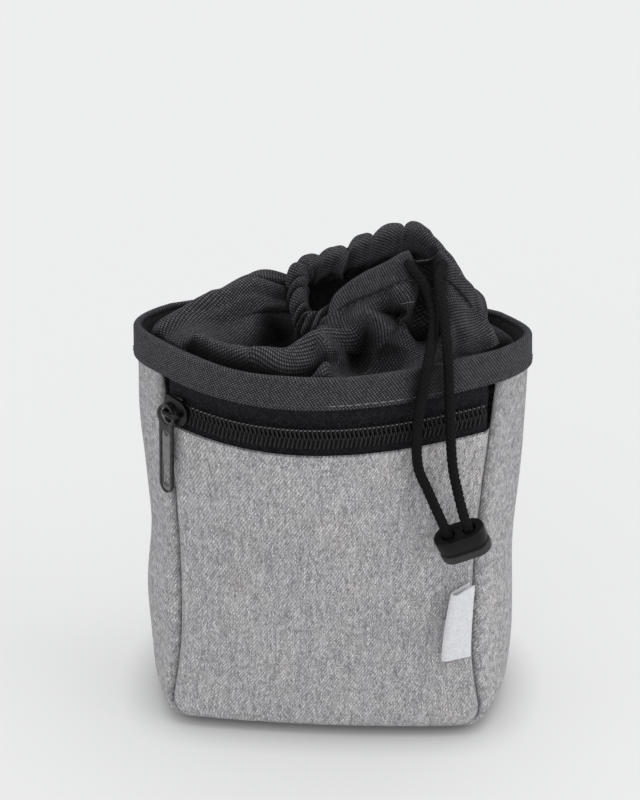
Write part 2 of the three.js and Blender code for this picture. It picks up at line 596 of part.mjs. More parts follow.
const collarFace = (side) =>
  collarFolded.map((row, r) =>
    row.map((point, c) => {
      const normal = collarNormals[r][c];
      const slope = COLLAR_LEVELS[r] < HEM_AT ? Math.max(STEEPEST, normal.dot(foldedNormals[r][c])) : 1;
      return point.clone().addScaledVector(normal, (side * collarHalf(COLLAR_LEVELS[r])) / slope);
    }),
  );
const collarSolid = solidOf(wallOf(collarFace(1), collarFace(-1), true));

// The cord's tunnel round the hem, the two eyelets into it, and the cord: round the hem, then both strands.
const tunnelRadius = CORD_RADIUS + TUNNEL.clear;
const hemLoop = new THREE.CatmullRomCurve3(columnDegrees.map(hemMiddle), true);
const tunnelLoop = hemLoop.getSpacedPoints(TUNNEL.steps).slice(0, -1);
const tunnelSections = tunnelLoop.map((centre, i) => {
  const ahead = tunnelLoop[(i + 1) % tunnelLoop.length].clone().sub(tunnelLoop.at(i - 1)).normalize();
  const sideways = new Vector3(0, 0, 1).cross(ahead).normalize();
  const upward = ahead.clone().cross(sideways);
  return steps(TUNNEL.sides, 0, Math.PI * 2).slice(0, -1).map((turn) =>
    centre
      .clone()
      .addScaledVector(sideways, tunnelRadius * Math.cos(turn))
      .addScaledVector(upward, tunnelRadius * Math.sin(turn)),
  );
});
const pointsOf = (rows) => rows.map(({ x, y, z }) => new Vector3(x, y, z));
function eyelet(degrees) {
  const centre = hemMiddle(degrees);
  const [way] = pointsOf([EYELET_WAY]);
  const mouth = centre.clone().add(way);
  return { centre, mouth, bore: [centre, mouth, mouth.clone().add(way)] };
}
const leftEyelet = eyelet(EYELETS.left);
const rightEyelet = eyelet(EYELETS.right);
let collar = collarSolid.subtract(solidOf(sweepOf(tunnelSections, true)));
for (const { bore } of [leftEyelet, rightEyelet]) {
  collar = collar.subtract(solidOf(cordOf(bore, tunnelRadius, 3)));
}
addPiece("drawstring_collar", geometryOf(collar), FINISHES.charcoalCloth);

const hemSpan = steps(CORD_STEPS.points, EYELETS.right + EYELETS.clear, EYELETS.left + 360 - EYELETS.clear);
addPiece("drawcord_in_hem", cordOf(hemSpan.map(hemMiddle), CORD_RADIUS, CORD_STEPS.hem), FINISHES.blackCord);

const cordEnd = new THREE.Group();
cordEnd.position.set(CORD_END.x, CORD_END.y, CORD_END.z);
cordEnd.rotation.set(degToRad(CORD_END_TILT.x), degToRad(CORD_END_TILT.y), degToRad(CORD_END_TILT.z));
cordEnd.updateMatrix();
bag.add(cordEnd);
function strandOf({ centre, mouth }, rows, holeX) {
  const bottom = new Vector3(holeX, 0, CORD_END.shell - CORD_HOLES.reach).applyMatrix4(cordEnd.matrix);
  const entry = new Vector3(holeX, 0, CORD_END.shell + CORD_HOLES.lead).applyMatrix4(cordEnd.matrix);
  return cordOf([centre, mouth, ...pointsOf(rows), entry, bottom], CORD_RADIUS, CORD_STEPS.strand);
}
const holeX = CORD_HOLES.spacing / 2;
addPiece("drawcord_left", strandOf(leftEyelet, LEFT_STRAND, -holeX), FINISHES.blackCord);
addPiece("drawcord_right", strandOf(rightEyelet, RIGHT_STRAND, holeX), FINISHES.blackCord);

// The cord end: an oval shell that the strands enter from above, and the lid snapped on under it.
const endShape = slotPath(THREE.Shape, 0, 0, CORD_END.width, CORD_END.length);
const endBlank = (height) => extruded(endShape, height, 7).rotateZ(Math.PI / 2);
const holeRadius = CORD_RADIUS + 2 * GAP;
let shell = solidOf(endBlank(CORD_END.shell));
for (const side of [-1, 1]) {
  const hole = new THREE.CylinderGeometry(holeRadius, holeRadius, 2 * CORD_HOLES.depth, 12);
  hole.rotateX(Math.PI / 2).translate(side * holeX, 0, CORD_END.shell);
  shell = shell.subtract(solidOf(hole));
}
addPiece("cord_end_shell", geometryOf(shell), FINISHES.blackPlastic, cordEnd);
const lid = addPiece("cord_end_lid", endBlank(CORD_END.lid), FINISHES.blackPlastic, cordEnd);
lid.position.z = -CORD_END.lid - GAP;

// The label: a folded ribbon whose ends are sewn into the right front seam; its fold stands off the panel.
// The two ends of its section lie on the seam, and the fold is the point farthest from it.
const labelOuter = LABEL.fold / 2 + LABEL.ply;
const labelFlat = LABEL.width - labelOuter;
function labelSection(z, ply) {
  const seam = bodyAt(z).seam - LABEL.inset;
  const root = new Vector3(seam, frontY(seam, z) - GAP, z);
  const lean = degToRad(lerp(LABEL_LEAN.bottom, LABEL_LEAN.top, (z - LABEL.bottom) / LABEL.height));
  const away = new Vector3(-Math.cos(lean), -Math.sin(lean), 0);
  const across = new Vector3(-Math.sin(lean), Math.cos(lean), 0);
  const at = (reach, side) => root.clone().addScaledVector(away, reach).addScaledVector(across, side);
  return [
    at(0, ply - 2 * labelOuter),
    at(labelFlat, ply - 2 * labelOuter),
    at(LABEL.width - ply, -labelOuter),
    at(labelFlat, -ply),
    at(0, -ply),
  ];
}
const labelFace = (ply) =>
  steps(3, LABEL.bottom, LABEL.bottom + LABEL.height).map((z) => labelSection(z, ply));
addPiece("side_label", wallOf(labelFace(0), labelFace(LABEL.ply)), FINISHES.whiteRibbon);

export default bag;
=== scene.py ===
import math

import bmesh
import bpy
import numpy as np
from mathutils import Matrix, Vector, noise


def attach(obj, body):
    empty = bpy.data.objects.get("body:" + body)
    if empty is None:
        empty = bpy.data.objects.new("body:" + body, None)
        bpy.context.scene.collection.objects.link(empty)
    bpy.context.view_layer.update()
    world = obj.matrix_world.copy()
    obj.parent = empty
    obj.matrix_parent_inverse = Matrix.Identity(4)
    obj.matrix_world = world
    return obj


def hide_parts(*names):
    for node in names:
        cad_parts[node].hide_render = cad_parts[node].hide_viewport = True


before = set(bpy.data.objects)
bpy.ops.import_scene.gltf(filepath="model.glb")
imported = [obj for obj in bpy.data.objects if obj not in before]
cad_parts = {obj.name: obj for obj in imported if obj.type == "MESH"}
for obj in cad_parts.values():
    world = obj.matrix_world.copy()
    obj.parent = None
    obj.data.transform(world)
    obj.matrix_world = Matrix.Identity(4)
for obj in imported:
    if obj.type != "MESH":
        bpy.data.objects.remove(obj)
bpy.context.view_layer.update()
scene = bpy.context.scene
MM = 0.001  # the shapes below are worked out in millimetres

# The camera: a long lens, a little to the right of the bag's middle and looking down on it, so that the bag
# stands as it does in the photograph.
VIEW = {"azimuth": 3.9, "elevation": 25, "distance": 800, "lens": 109.1, "sensor": 36}
VIEW_TARGET = Vector((-3.9, 0, 107))


def placed(name, data):
    """A new object in the scene."""
    thing = bpy.data.objects.new(name, data)
    scene.collection.objects.link(thing)
    return thing


view_turn = math.radians(VIEW["azimuth"])
view_rise = math.radians(VIEW["elevation"])
view_back = Vector((
    math.sin(view_turn) * math.cos(view_rise), -math.cos(view_turn) * math.cos(view_rise), math.sin(view_rise)
))
camera = placed("camera", bpy.data.cameras.new("camera"))
camera.data.lens = VIEW["lens"]
camera.data.sensor_width = VIEW["sensor"]
camera.location = (VIEW_TARGET + view_back * VIEW["distance"]) * MM
camera.rotation_euler = view_back.to_track_quat("Z", "Y").to_euler()
scene.camera = camera

# The floor and the light: a pale seamless sheet under large soft lamps, so that the bag has a soft shadow
# round its base and no hard ones. The sheet has a painted glow that lightens the bag's shadow on it, but
# not close under the bag.
FLOOR = {"half": 8000, "drop": 0.1, "dark": 0.375, "pale": 0.385, "glow": 0.36, "gap": 15}
LAMP_WIDTH = 55  # how wide each lamp looks, in degrees
LAMPS = [
    # name, the way that its light comes from, and its strength
    ("lamp_above", (60, 150, 1000), 1.5),
    ("lamp_left", (-1000, -450, 400), 0.5),
    ("lamp_right", (1050, -250, 450), 1.15),
    ("lamp_front", (-100, -1100, 600), 0.65),
]
SKY = {"Color": (0.95, 0.97, 1.0, 1.0), "Strength": 0.5}


def set_sockets(tree, node, sockets):
    """Links a node's sockets, or sets them to plain values."""
    for name, value in sockets.items():
        if isinstance(value, bpy.types.NodeSocket):
            tree.links.new(value, node.inputs[name])
        else:
            node.inputs[name].default_value = value
    return node


def add_node(tree, kind, sockets, **settings):
    """A shader node with its settings and its sockets."""
    node = tree.nodes.new("ShaderNode" + kind)
    for name, value in settings.items():
        setattr(node, name, value)
    return set_sockets(tree, node, sockets)


def new_material(name):
    """A material with a Principled BSDF, and its tree."""
    material = bpy.data.materials.new(name)
    material.use_nodes = True
    tree = material.node_tree
    return material, tree, tree.nodes["Principled BSDF"]


def grain_node(tree, scale, detail, place=None):
    """Noise from 0 to 1 over a place, or over the piece's own box."""
    sockets = {"Scale": scale, "Detail": detail}
    if place is not None:
        sockets["Vector"] = place
    return add_node(tree, "TexNoise", sockets).outputs["Fac"]


def spread(tree, value, to_low, to_high, low=0.0, high=1.0):
    """A value's range spread over another."""
    ends = {"From Min": low, "From Max": high, "To Min": to_low, "To Max": to_high}
    return add_node(tree, "MapRange", {"Value": value, **ends}).outputs["Result"]


floor_mesh = bpy.data.meshes.new("floor")
floor_mesh.from_pydata(
    [
        (x * FLOOR["half"] * MM, y * FLOOR["half"] * MM, -FLOOR["drop"] * MM)
        for x, y in ((-1, -1), (1, -1), (1, 1), (-1, 1))
    ],
    [], [(0, 1, 2, 3)],
)
floor = placed("floor", floor_mesh)
floor_paint, floor_tree, floor_shader = new_material("pale_sheet")
floor_grain = grain_node(floor_tree, scale=3.0, detail=2.0)
# painted glow: the floor glows by itself to lighten the bag's shadow, but not within the gap under the bag
painted_glow_mask = add_node(floor_tree, "AmbientOcclusion", {"Distance": FLOOR["gap"] * MM}, samples=8)
set_sockets(floor_tree, floor_shader, {
    "Base Color": spread(floor_tree, floor_grain, FLOOR["dark"], FLOOR["pale"]),
    "Roughness": 0.75,
    # painted glow, which lightens the bag's shadow on the floor
    "Emission Color": painted_glow_mask.outputs["Color"],
    "Emission Strength": FLOOR["glow"],
})
floor_mesh.materials.append(floor_paint)

for lamp_name, lamp_way, lamp_strength in LAMPS:
    lamp_light = bpy.data.lights.new(lamp_name, "SUN")
    lamp_light.energy = lamp_strength
    lamp_light.angle = math.radians(LAMP_WIDTH)
    lamp = placed(lamp_name, lamp_light)
    lamp.rotation_euler = Vector(lamp_way).to_track_quat("Z", "Y").to_euler()
world = bpy.data.worlds.new("studio")
world.use_nodes = True
set_sockets(world.node_tree, world.node_tree.nodes["Background"], SKY)
scene.world = world
scene.view_settings.view_transform = "Standard"

# The front panel: mottled grey woven polyester, cut with round bottom corners and sewn inside out to the
# gusset, so that its edges turn in along the seam. Its top edge is turned under and sewn to the zip.
GAP = 0.3
CLOTH = 1.5
RIM_HEIGHT = 134
FLOOR_LIFT = 3
CORNER_RADIUS = 8
PANEL_TOP = RIM_HEIGHT - 27.5
PANEL_GRID = {"rows": 86, "columns": 96, "corner_rows": 13, "crowding": 0.75}
# How far a seam's edge turns in, over what width, and where and how much it lies flatter below the rim.
SEAM_TURN = {"depth": 3.4, "width": 2.2, "flat_from": 11, "fade": 5, "flatter": 0.8}
PUCKER = {"size": 5, "share": 0.35}  # unevenness of the seams
SOFTNESS = {"size": 34, "height": 0.8, "edge": 8, "top": 0.15}  # slow unevenness of the limp walls
RIPPLE_STEP = np.array([17.3, 5.1, 9.7])  # how far one seed's noise lies from the next
SHARP_ANGLE = math.radians(50)
YARN = {"round": 3.2, "dip": 2.2}
GREY_WEAVE = {"pitch": (0.36, 0.53), "repeat": 3.0, "stretch": 2.6}
GREY_YARNS = [
    (0.0, 0.29, 0.282, 0.288), (0.25, 0.46, 0.449, 0.455),
    (0.7, 0.61, 0.598, 0.606), (1.0, 0.79, 0.776, 0.786),
]
GREY_CLOUDS = [(0.3, 0.95, 0.955, 0.985), (0.7, 1.03, 1.02, 1.0)]


def table(columns, rows):
    """Rows of numbers as a table with named columns."""
    return [dict(zip(columns.split(), row)) for row in rows]


BODY_SECTIONS = table("z seam side front bow lean back back_bow round", [
    (0, 53, 60, 33, 3, 0, 33, 3, 0.6),
    (30, 48.5, 62.5, 32, 6, 0, 32, 5, 0.65),
    (68, 48.5, 62, 28, 13, 0.1, 29, 8, 0.7),
    (106, 52, 64, 20, 22, 0.2, 21, 12, 0.85),
    (134, 54.5, 64, 16, 26, 0.25, 15, 15, 1),
])


def curve_at(places, values, slopes, at):
    """A smooth curve through values with given slopes, at any places."""
    i = np.clip(np.searchsorted(places, at, side="right") - 1, 0, len(places) - 2)
    span = places[i + 1] - places[i]
    t = np.clip((at - places[i]) / span, 0, 1)
    return (
        values[i] * (1 + 2 * t) * (1 - t) ** 2
        + slopes[i] * span * t * (1 - t) ** 2
        + values[i + 1] * t * t * (3 - 2 * t)
        + slopes[i + 1] * span * t * t * (t - 1)
    )


def slopes_of(places, values):
    """Slopes for a smooth curve through values: the mean of the steps on both sides of each."""
    steps = (np.diff(values, axis=0).T / np.diff(places)).T
    return np.concatenate([steps[:1], (steps[1:] + steps[:-1]) / 2, steps[-1:]])


def body_at(name, z):
    """One column of the body's table at any height."""
    heights, values = (np.array([row[key] for row in BODY_SECTIONS], float) for key in ("z", name))
    return curve_at(heights, values, slopes_of(heights, values), np.asarray(z, float))


def front_y(x, z):
    share = x / body_at("seam", z)
    return -(body_at("front", z) + body_at("bow", z) * (1 - share**2) * (1 - body_at("lean", z) * share))


def back_y(x, z):
    return body_at("back", z) + body_at("back_bow", z) * (1 - (x / body_at("seam", z)) ** 2)


def ripple(points, size, seed):
    """Smooth noise from -1 to 1 at points in millimetres."""
    flat = points.reshape(-1, 3) / size + seed * RIPPLE_STEP
    return np.array([noise.noise(Vector(p)) for p in flat]).reshape(points.shape[:-1])


def normals_of(grid, closed=False):
    """Unit normals of a grid of points, from its neighbours along rows and columns."""
    if closed:
        along = np.roll(grid, -1, axis=1) - np.roll(grid, 1, axis=1)
    else:
        along = np.gradient(grid, axis=1)
    normals = np.cross(along, np.gradient(grid, axis=0))
    return normals / np.maximum(np.linalg.norm(normals, axis=-1, keepdims=True), 1e-9)


def cloth_lay(grid, closed):
    """How far each point lies along the cloth's rows and columns, in metres, for the weave to follow."""
    ring = np.concatenate([grid, grid[:, :1]], axis=1) if closed else grid
    across = np.linalg.norm(np.diff(ring, axis=1), axis=-1).mean(axis=0)
    up = np.linalg.norm(np.diff(ring, axis=0), axis=-1).mean(axis=1)
    u, v = (np.concatenate([[0], np.cumsum(steps)]) for steps in (across, up))
    return np.stack(np.meshgrid(u, v), axis=-1) * MM


def add_mesh(name, points, faces, material, lay=None):
    """A new smooth mesh object in place, from points in millimetres, with its faces pointing out."""
    mesh = bpy.data.meshes.new(name)
    mesh.from_pydata((np.asarray(points, float) * MM).tolist(), [], np.asarray(faces).tolist())
    if lay is not None:
        mesh.uv_layers.new(name="lay").data.foreach_set("uv", np.asarray(lay, float).ravel())
    shape = bmesh.new()
    shape.from_mesh(mesh)
    bmesh.ops.recalc_face_normals(shape, faces=shape.faces)
    shape.to_mesh(mesh)
    shape.free()
    mesh.shade_smooth()
    mesh.set_sharp_from_angle(angle=SHARP_ANGLE)
    mesh.materials.append(material)
    return placed(name, mesh)


def cloth_piece(name, outer, inner, material, closed=False, lay=None):
    """A cloth wall between two grids of points, joined round its edges; a closed one runs round its rows."""
    count = outer.shape[0] * outer.shape[1]
    index = np.arange(count).reshape(outer.shape[:2])
    if closed:
        index = np.concatenate([index, index[:, :1]], axis=1)
    if lay is None:
        lay = cloth_lay(outer, closed)
    face = np.dstack([index, lay])
    rear = np.dstack([index + count, lay])
    patches = [
        (face[:-1, :-1], face[:-1, 1:], face[1:, 1:], face[1:, :-1]),
        (rear[:-1, :-1], rear[1:, :-1], rear[1:, 1:], rear[:-1, 1:]),
        (face[0, :-1], rear[0, :-1], rear[0, 1:], face[0, 1:]),
        (face[-1, :-1], face[-1, 1:], rear[-1, 1:], rear[-1, :-1]),
    ]
    if not closed:
        patches.append((face[:-1, 0], face[1:, 0], rear[1:, 0], rear[:-1, 0]))
        patches.append((face[:-1, -1], rear[:-1, -1], rear[1:, -1], face[1:, -1]))
    corners = np.concatenate([np.stack([c.reshape(-1, 3) for c in patch], axis=1) for patch in patches])
    points = np.concatenate([outer.reshape(-1, 3), inner.reshape(-1, 3)])
    return add_mesh(name, points, corners[..., 0].astype(int), material, corners[..., 1:])


def seam_turn(distance, z):
    """How far cloth turns in at a distance from its seam; it lies flatter under the binding."""
    share = 1 - np.clip(distance / SEAM_TURN["width"], 0, 1)
    under_binding = np.clip((z - RIM_HEIGHT + SEAM_TURN["flat_from"]) / SEAM_TURN["fade"], 0, 1)
    return SEAM_TURN["depth"] * (1 - SEAM_TURN["flatter"] * under_binding) * (1 - np.sqrt(1 - share**2))


def edge_distance(x, z):
    """How far a point of a panel lies inside the panel's seams."""
    beyond_x = np.abs(x) - (body_at("seam", z) - CORNER_RADIUS)
    beyond_z = FLOOR_LIFT + CORNER_RADIUS - z
    corner = np.hypot(np.maximum(beyond_x, 0), np.maximum(beyond_z, 0))
    return CORNER_RADIUS - corner - np.minimum(np.maximum(beyond_x, beyond_z), 0)


def crowded(count, edge):
    """Shares from 0 to 1 that lie closer together at both ends."""
    t = np.linspace(0, 1, count)
    return t - edge * np.sin(2 * np.pi * t) / (2 * np.pi)


def corner_turns(count):
    """Angles round a bottom corner, from the base up to where the side starts, and the heights there."""
    turn = np.linspace(np.pi / 2, 0, count + 1)[:-1]
    return turn, FLOOR_LIFT + CORNER_RADIUS * (1 - np.sin(turn))


def panel_grid(top, surface):
    """A panel's own grid: its rows follow the round bottom corners and then go straight up."""
    turn, corner_z = corner_turns(PANEL_GRID["corner_rows"])
    straight_z = np.linspace(FLOOR_LIFT + CORNER_RADIUS, top, PANEL_GRID["rows"])
    z = np.concatenate([corner_z, straight_z])
    inset = np.concatenate([CORNER_RADIUS * (1 - np.cos(turn)), np.zeros(PANEL_GRID["rows"])])
    share = 2 * crowded(PANEL_GRID["columns"], PANEL_GRID["crowding"]) - 1
    x = (body_at("seam", z) - inset)[:, None] * share[None, :]
    z = np.repeat(z[:, None], PANEL_GRID["columns"], axis=1)
    return np.stack([x, surface(x, z), z], axis=-1)


def cloth_panel(name, top, surface, inward, seed):
    """A whole panel on one face of the body, with soft walls and puckered seams."""
    grid = panel_grid(top, surface)
    distance = edge_distance(grid[..., 0], grid[..., 2])
    pucker = 1 + PUCKER["share"] * ripple(grid, PUCKER["size"], seed + 1)
    below_top = np.clip((top - grid[..., 2]) / SOFTNESS["edge"], SOFTNESS["top"], 1)
    calm = np.clip(distance / SOFTNESS["edge"], 0, 1) * below_top
    grid[..., 1] += inward * seam_turn(distance, grid[..., 2]) * pucker
    grid[..., 1] += inward * SOFTNESS["height"] * ripple(grid, SOFTNESS["size"], seed) * calm
    return cloth_piece(name, grid, grid + (0, inward * CLOTH, 0), grey_cloth)


def calc(tree, operation, *values):
    """One sum of a shader tree."""
    return add_node(tree, "Math", dict(enumerate(values)), operation=operation).outputs[0]


def weave_group():
    """Woven cloth laid in threads: the height of its yarns, which one lies on top, and a tone for each."""
    tree = bpy.data.node_groups.new("woven_yarns", "ShaderNodeTree")
    tree.interface.new_socket("Lay", in_out="INPUT", socket_type="NodeSocketVector")
    for name in ("Repeat", "Stretch"):
        tree.interface.new_socket(name, in_out="INPUT", socket_type="NodeSocketFloat")
    for name in ("Height", "Over", "Tone"):
        tree.interface.new_socket(name, in_out="OUTPUT", socket_type="NodeSocketFloat")
    given = tree.nodes.new("NodeGroupInput").outputs
    lay = add_node(tree, "SeparateXYZ", {0: given["Lay"]}).outputs
    u, v = lay["X"], lay["Y"]
    warp = calc(tree, "FLOOR", u)
    weft = calc(tree, "FLOOR", v)
    step = calc(tree, "FLOORED_MODULO", calc(tree, "SUBTRACT", warp, weft), given["Repeat"])
    over = calc(tree, "LESS_THAN", step, calc(tree, "SUBTRACT", given["Repeat"], 1.0))
    across_warp = calc(tree, "SUBTRACT", calc(tree, "FRACT", u), 0.5)
    across_weft = calc(tree, "SUBTRACT", calc(tree, "FRACT", v), 0.5)

    def yarn(across, along):
        """The height of one yarn: round across itself, and dipping under its neighbours at its ends."""
        round_off = calc(tree, "MULTIPLY", calc(tree, "MULTIPLY", across, across), YARN["round"])
        dip = calc(tree, "MULTIPLY", calc(tree, "MULTIPLY", along, along), YARN["dip"])
        return calc(tree, "SUBTRACT", calc(tree, "SUBTRACT", 1.0, round_off), dip)

    def tone(thread, along, side):
        """A tone for each stretch of one yarn; the stretches of neighbours start at different places."""
        start = add_node(tree, "TexWhiteNoise", {"W": thread}, noise_dimensions="1D").outputs["Value"]
        place = calc(tree, "ADD", calc(tree, "DIVIDE", along, given["Stretch"]), start)
        key = add_node(tree, "CombineXYZ", {0: thread, 1: calc(tree, "FLOOR", place), 2: side}).outputs[0]
        return add_node(tree, "TexWhiteNoise", {"Vector": key}).outputs["Value"]

    def choose(when_weft, when_warp):
        return add_node(tree, "Mix", {"Factor": over, 2: when_weft, 3: when_warp}).outputs[0]

    set_sockets(tree, tree.nodes.new("NodeGroupOutput"), {
        "Height": choose(yarn(across_weft, across_warp), yarn(across_warp, across_weft)),
        "Over": over,
        "Tone": choose(tone(weft, u, 7.0), tone(warp, v, 3.0)),
    })
    return tree


woven_yarns = weave_group()


def cloth_place(tree):
    """The place along a cloth's own rows and columns, in metres."""
    return add_node(tree, "UVMap", {}, uv_map="lay").outputs[0]


def scaled(tree, place, size):
    """A place multiplied along its rows and columns."""
    return add_node(tree, "VectorMath", {0: place, 1: (*size, 1.0)}, operation="MULTIPLY").outputs[0]


def weave_node(tree, pitch, repeat, stretch, turn=0.0):
    """The weave along a cloth's own rows and columns, turned by an angle where it is cut on the bias."""
    lay = cloth_place(tree)
    if turn:
        sockets = {"Vector": lay, "Angle": turn}
        lay = add_node(tree, "VectorRotate", sockets, rotation_type="Z_AXIS").outputs[0]
    threads = scaled(tree, lay, [1 / (size * MM) for size in pitch])
    sockets = {"Lay": threads, "Repeat": repeat, "Stretch": stretch}
    return add_node(tree, "Group", sockets, node_tree=woven_yarns).outputs


def ramp_node(tree, value, stops):
    """A colour ramp over a value; each stop is a place and a colour."""
    ramp = add_node(tree, "ValToRGB", {"Fac": value})
    elements = ramp.color_ramp.elements
    while len(elements) < len(stops):
        elements.new(0.5)
    for element, (place, *colour) in zip(elements, stops):
        element.position = place
        element.color = (*colour, 1.0)
    return ramp.outputs["Color"]


def multiplied(tree, colour, *others):
    """A colour multiplied by others, or by values."""
    for other in others:
        sockets = {"Factor": 1.0, 6: colour, 7: other}
        colour = add_node(tree, "Mix", sockets, data_type="RGBA", blend_type="MULTIPLY").outputs[2]
    return colour


def bump_node(tree, height, strength, distance):
    """The normal of a surface that a height raises by a distance."""
    sockets = {"Strength": strength, "Distance": distance * MM, "Height": height}
    return add_node(tree, "Bump", sockets).outputs["Normal"]


def grey_cloth_material(name, streak_size, dark, pale):
    """Mottled grey cloth; its yarns' streaks have a size along the rows and columns, and two tones."""
    material, tree, shader = new_material(name)
    woven = weave_node(tree, **GREY_WEAVE)
    streaks = grain_node(tree, 1.0, detail=2.0, place=scaled(tree, cloth_place(tree), streak_size))
    clouds = grain_node(tree, scale=55.0, detail=3.0, place=cloth_place(tree))
    colour = multiplied(
        tree,
        ramp_node(tree, woven["Tone"], GREY_YARNS),
        ramp_node(tree, streaks, [(0.3, dark, dark, dark + 0.01), (0.7, pale, pale, pale - 0.01)]),
        # painted shade: the yarns are darker where they sink into the weave's hollows
        spread(tree, woven["Height"], 0.62, 1.0, high=0.8),
        spread(tree, woven["Over"], 0.66, 1.0),
        ramp_node(tree, clouds, GREY_CLOUDS),
    )
    set_sockets(tree, shader, {
        "Base Color": colour, "Normal": bump_node(tree, woven["Height"], strength=0.7, distance=0.25),
        "Roughness": 0.9, "Specular IOR Level": 0.15, "Sheen Weight": 0.06,
    })
    return material


def on_bag(piece, node=None):
    """Fixes a piece to the bag, in place of a solid where it stands for one."""
    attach(piece, "bag")
    if node:
        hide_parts(node)
    return piece


grey_cloth = grey_cloth_material("grey_cloth", (700.0, 90.0), 0.83, 1.11)
front_panel = on_bag(cloth_panel("front_panel_cloth", PANEL_TOP, front_y, 1, 1), "front_panel")

# The back panel: the same cloth as the front, in one piece up to the binding. It doesn't show in the
# photograph, so it is finished plainly.
TAPE = 1
FOLD_ROOM = 0.6
BODY_TOP = RIM_HEIGHT - TAPE - FOLD_ROOM - 2 * GAP
back_panel = on_bag(cloth_panel("back_panel_cloth", BODY_TOP, back_y, -1, 4), "back_panel")

# The gusset: one strip of the grey cloth, down the left side, under the base and up the right side, sewn
# between the front and the back. Its sides swell out, and it is flat where it stands.
GUSSET_GRID = {"corner": 21, "side": 84, "base": 58, "across": 64, "crowding": 0.8}
GUSSET_CORNER = 0.12
GUSSET_TURN = 0.7  # how much of a panel's seam turn the strip has
SEAM_SHOULDER = {"at": 3.2, "out": 1.8}
GUSSET_SOFT = {"size": SOFTNESS["size"] * 0.8, "seed": 8, "edge": 12}
# Each dent's side, height and place from the front seam (0) to the back (1), then its reach and depth.
GUSSET_DENTS = table("side z across reach depth", [
    (-1, 29, 0.16, 8, 1.6),
    (-1, 62, 0.3, 16, 1.4),
    (1, 96, 0.2, 10, 1.6),
    (1, 50, 0.4, 18, 1.2),
])


def gusset_grid():
    """The gusset's rows round the U, each from the front seam to the back seam."""
    corner, corner_z = corner_turns(GUSSET_GRID["corner"])
    turn = np.concatenate([corner, np.zeros(GUSSET_GRID["side"])])
    straight_z = np.linspace(FLOOR_LIFT + CORNER_RADIUS, BODY_TOP, GUSSET_GRID["side"])
    z = np.concatenate([corner_z, straight_z])
    x = body_at("seam", z) - CORNER_RADIUS * (1 - np.cos(turn))
    base_x = np.linspace(-x[0], x[0], GUSSET_GRID["base"] + 2)[1:-1]
    side = np.concatenate([-np.ones(len(z)), np.ones(len(base_x)), np.ones(len(z))])[:, None]
    turn = np.concatenate([turn[::-1], np.full(len(base_x), np.pi / 2), turn])[:, None]
    x = np.concatenate([-x[::-1], base_x, x])[:, None]
    z = np.concatenate([z[::-1], np.full(len(base_x), FLOOR_LIFT), z])[:, None]
    across = crowded(GUSSET_GRID["across"], GUSSET_GRID["crowding"])[None, :]
    front = front_y(x, z) + CLOTH + GAP
    back = back_y(x, z) - CLOTH - GAP
    edge = np.minimum(across, 1 - across)
    side_swell = (body_at("side", z) - body_at("seam", z)) * np.sin(np.pi * across) ** body_at("round", z)
    base_swell = FLOOR_LIFT * np.minimum(1, edge / GUSSET_CORNER)
    share = (turn / (np.pi / 2)) ** 2
    upright = np.cos(turn)
    from_seam = edge * (back - front)
    swell = side_swell * (1 - share) + base_swell * share
    shoulder = SEAM_SHOULDER["out"] * np.exp(-((from_seam - SEAM_SHOULDER["at"]) / SEAM_SHOULDER["at"]) ** 2)
    turned_in = GUSSET_TURN * seam_turn(from_seam, z) - shoulder
    y = front + (back - front) * across + np.sign(0.5 - across) * turned_in * upright
    grid = np.stack([x + side * swell * upright, y, np.maximum(0, z - swell * np.sin(turn))], axis=-1)
    soft = SOFTNESS["height"] * ripple(grid, GUSSET_SOFT["size"], GUSSET_SOFT["seed"])
    for dent in GUSSET_DENTS:
        middle_y = front + (back - front) * dent["across"]
        away = np.hypot(grid[..., 2] - dent["z"], grid[..., 1] - middle_y) / dent["reach"]
        soft = soft - dent["depth"] * np.exp(-(away**2)) * (side == dent["side"])
    grid[..., 0] += side * soft * upright * np.clip(edge * GUSSET_SOFT["edge"], 0, 1)
    return grid


gusset_outer = gusset_grid()
gusset_inner = gusset_outer - CLOTH * normals_of(gusset_outer)
gusset_cloth = grey_cloth_material("grey_gusset_cloth", (330.0, 520.0), 0.74, 1.16)
gusset = on_bag(cloth_piece("gusset_cloth", gusset_outer, gusset_inner, gusset_cloth), "gusset")

# The zip's two tapes: black ribbed polyester, set a little behind the face of the front panel and sewn
# under the binding above and to the panel below.
ZIP_CENTRE = RIM_HEIGHT - 21
ZIP_INSET = 1.5
TAPE_TUCK = {"panel": 5, "binding": 4}
TAPE_LAY = {"columns": 150, "rise_from": 4, "rise_over": 8, "rise": 0.75, "ply": 0.7 * TAPE}
TAPE_RIPPLE = {"height": 0.15, "size": 14, "seed": 12}
TAPE_WEAVE = {"pitch": (0.42, 0.42), "repeat": 2.0, "stretch": 2.0}
TAPE_YARNS = [(0.0, 0.005, 0.005, 0.006), (0.7, 0.012, 0.012, 0.014), (1.0, 0.028, 0.028, 0.032)]
zip_end = float(body_at("seam", ZIP_CENTRE)) - ZIP_INSET


def tape_strip(node, bottom, top, rows):
    """One tape between two heights; it comes forward a little towards the binding."""
    x, z = np.meshgrid(np.linspace(-zip_end, zip_end, TAPE_LAY["columns"]), np.linspace(bottom, top, rows))
    risen = np.clip((z - ZIP_CENTRE - TAPE_LAY["rise_from"]) / TAPE_LAY["rise_over"], 0, 1)
    grid = np.stack([x, front_y(x, z) + (CLOTH + GAP) * (1 - TAPE_LAY["rise"] * risen), z], axis=-1)
    grid[..., 1] += TAPE_RIPPLE["height"] * ripple(grid, TAPE_RIPPLE["size"], TAPE_RIPPLE["seed"])
    strip = cloth_piece(node + "_cloth", grid, grid + (0, TAPE_LAY["ply"], 0), zip_tape)
    return on_bag(strip, node)


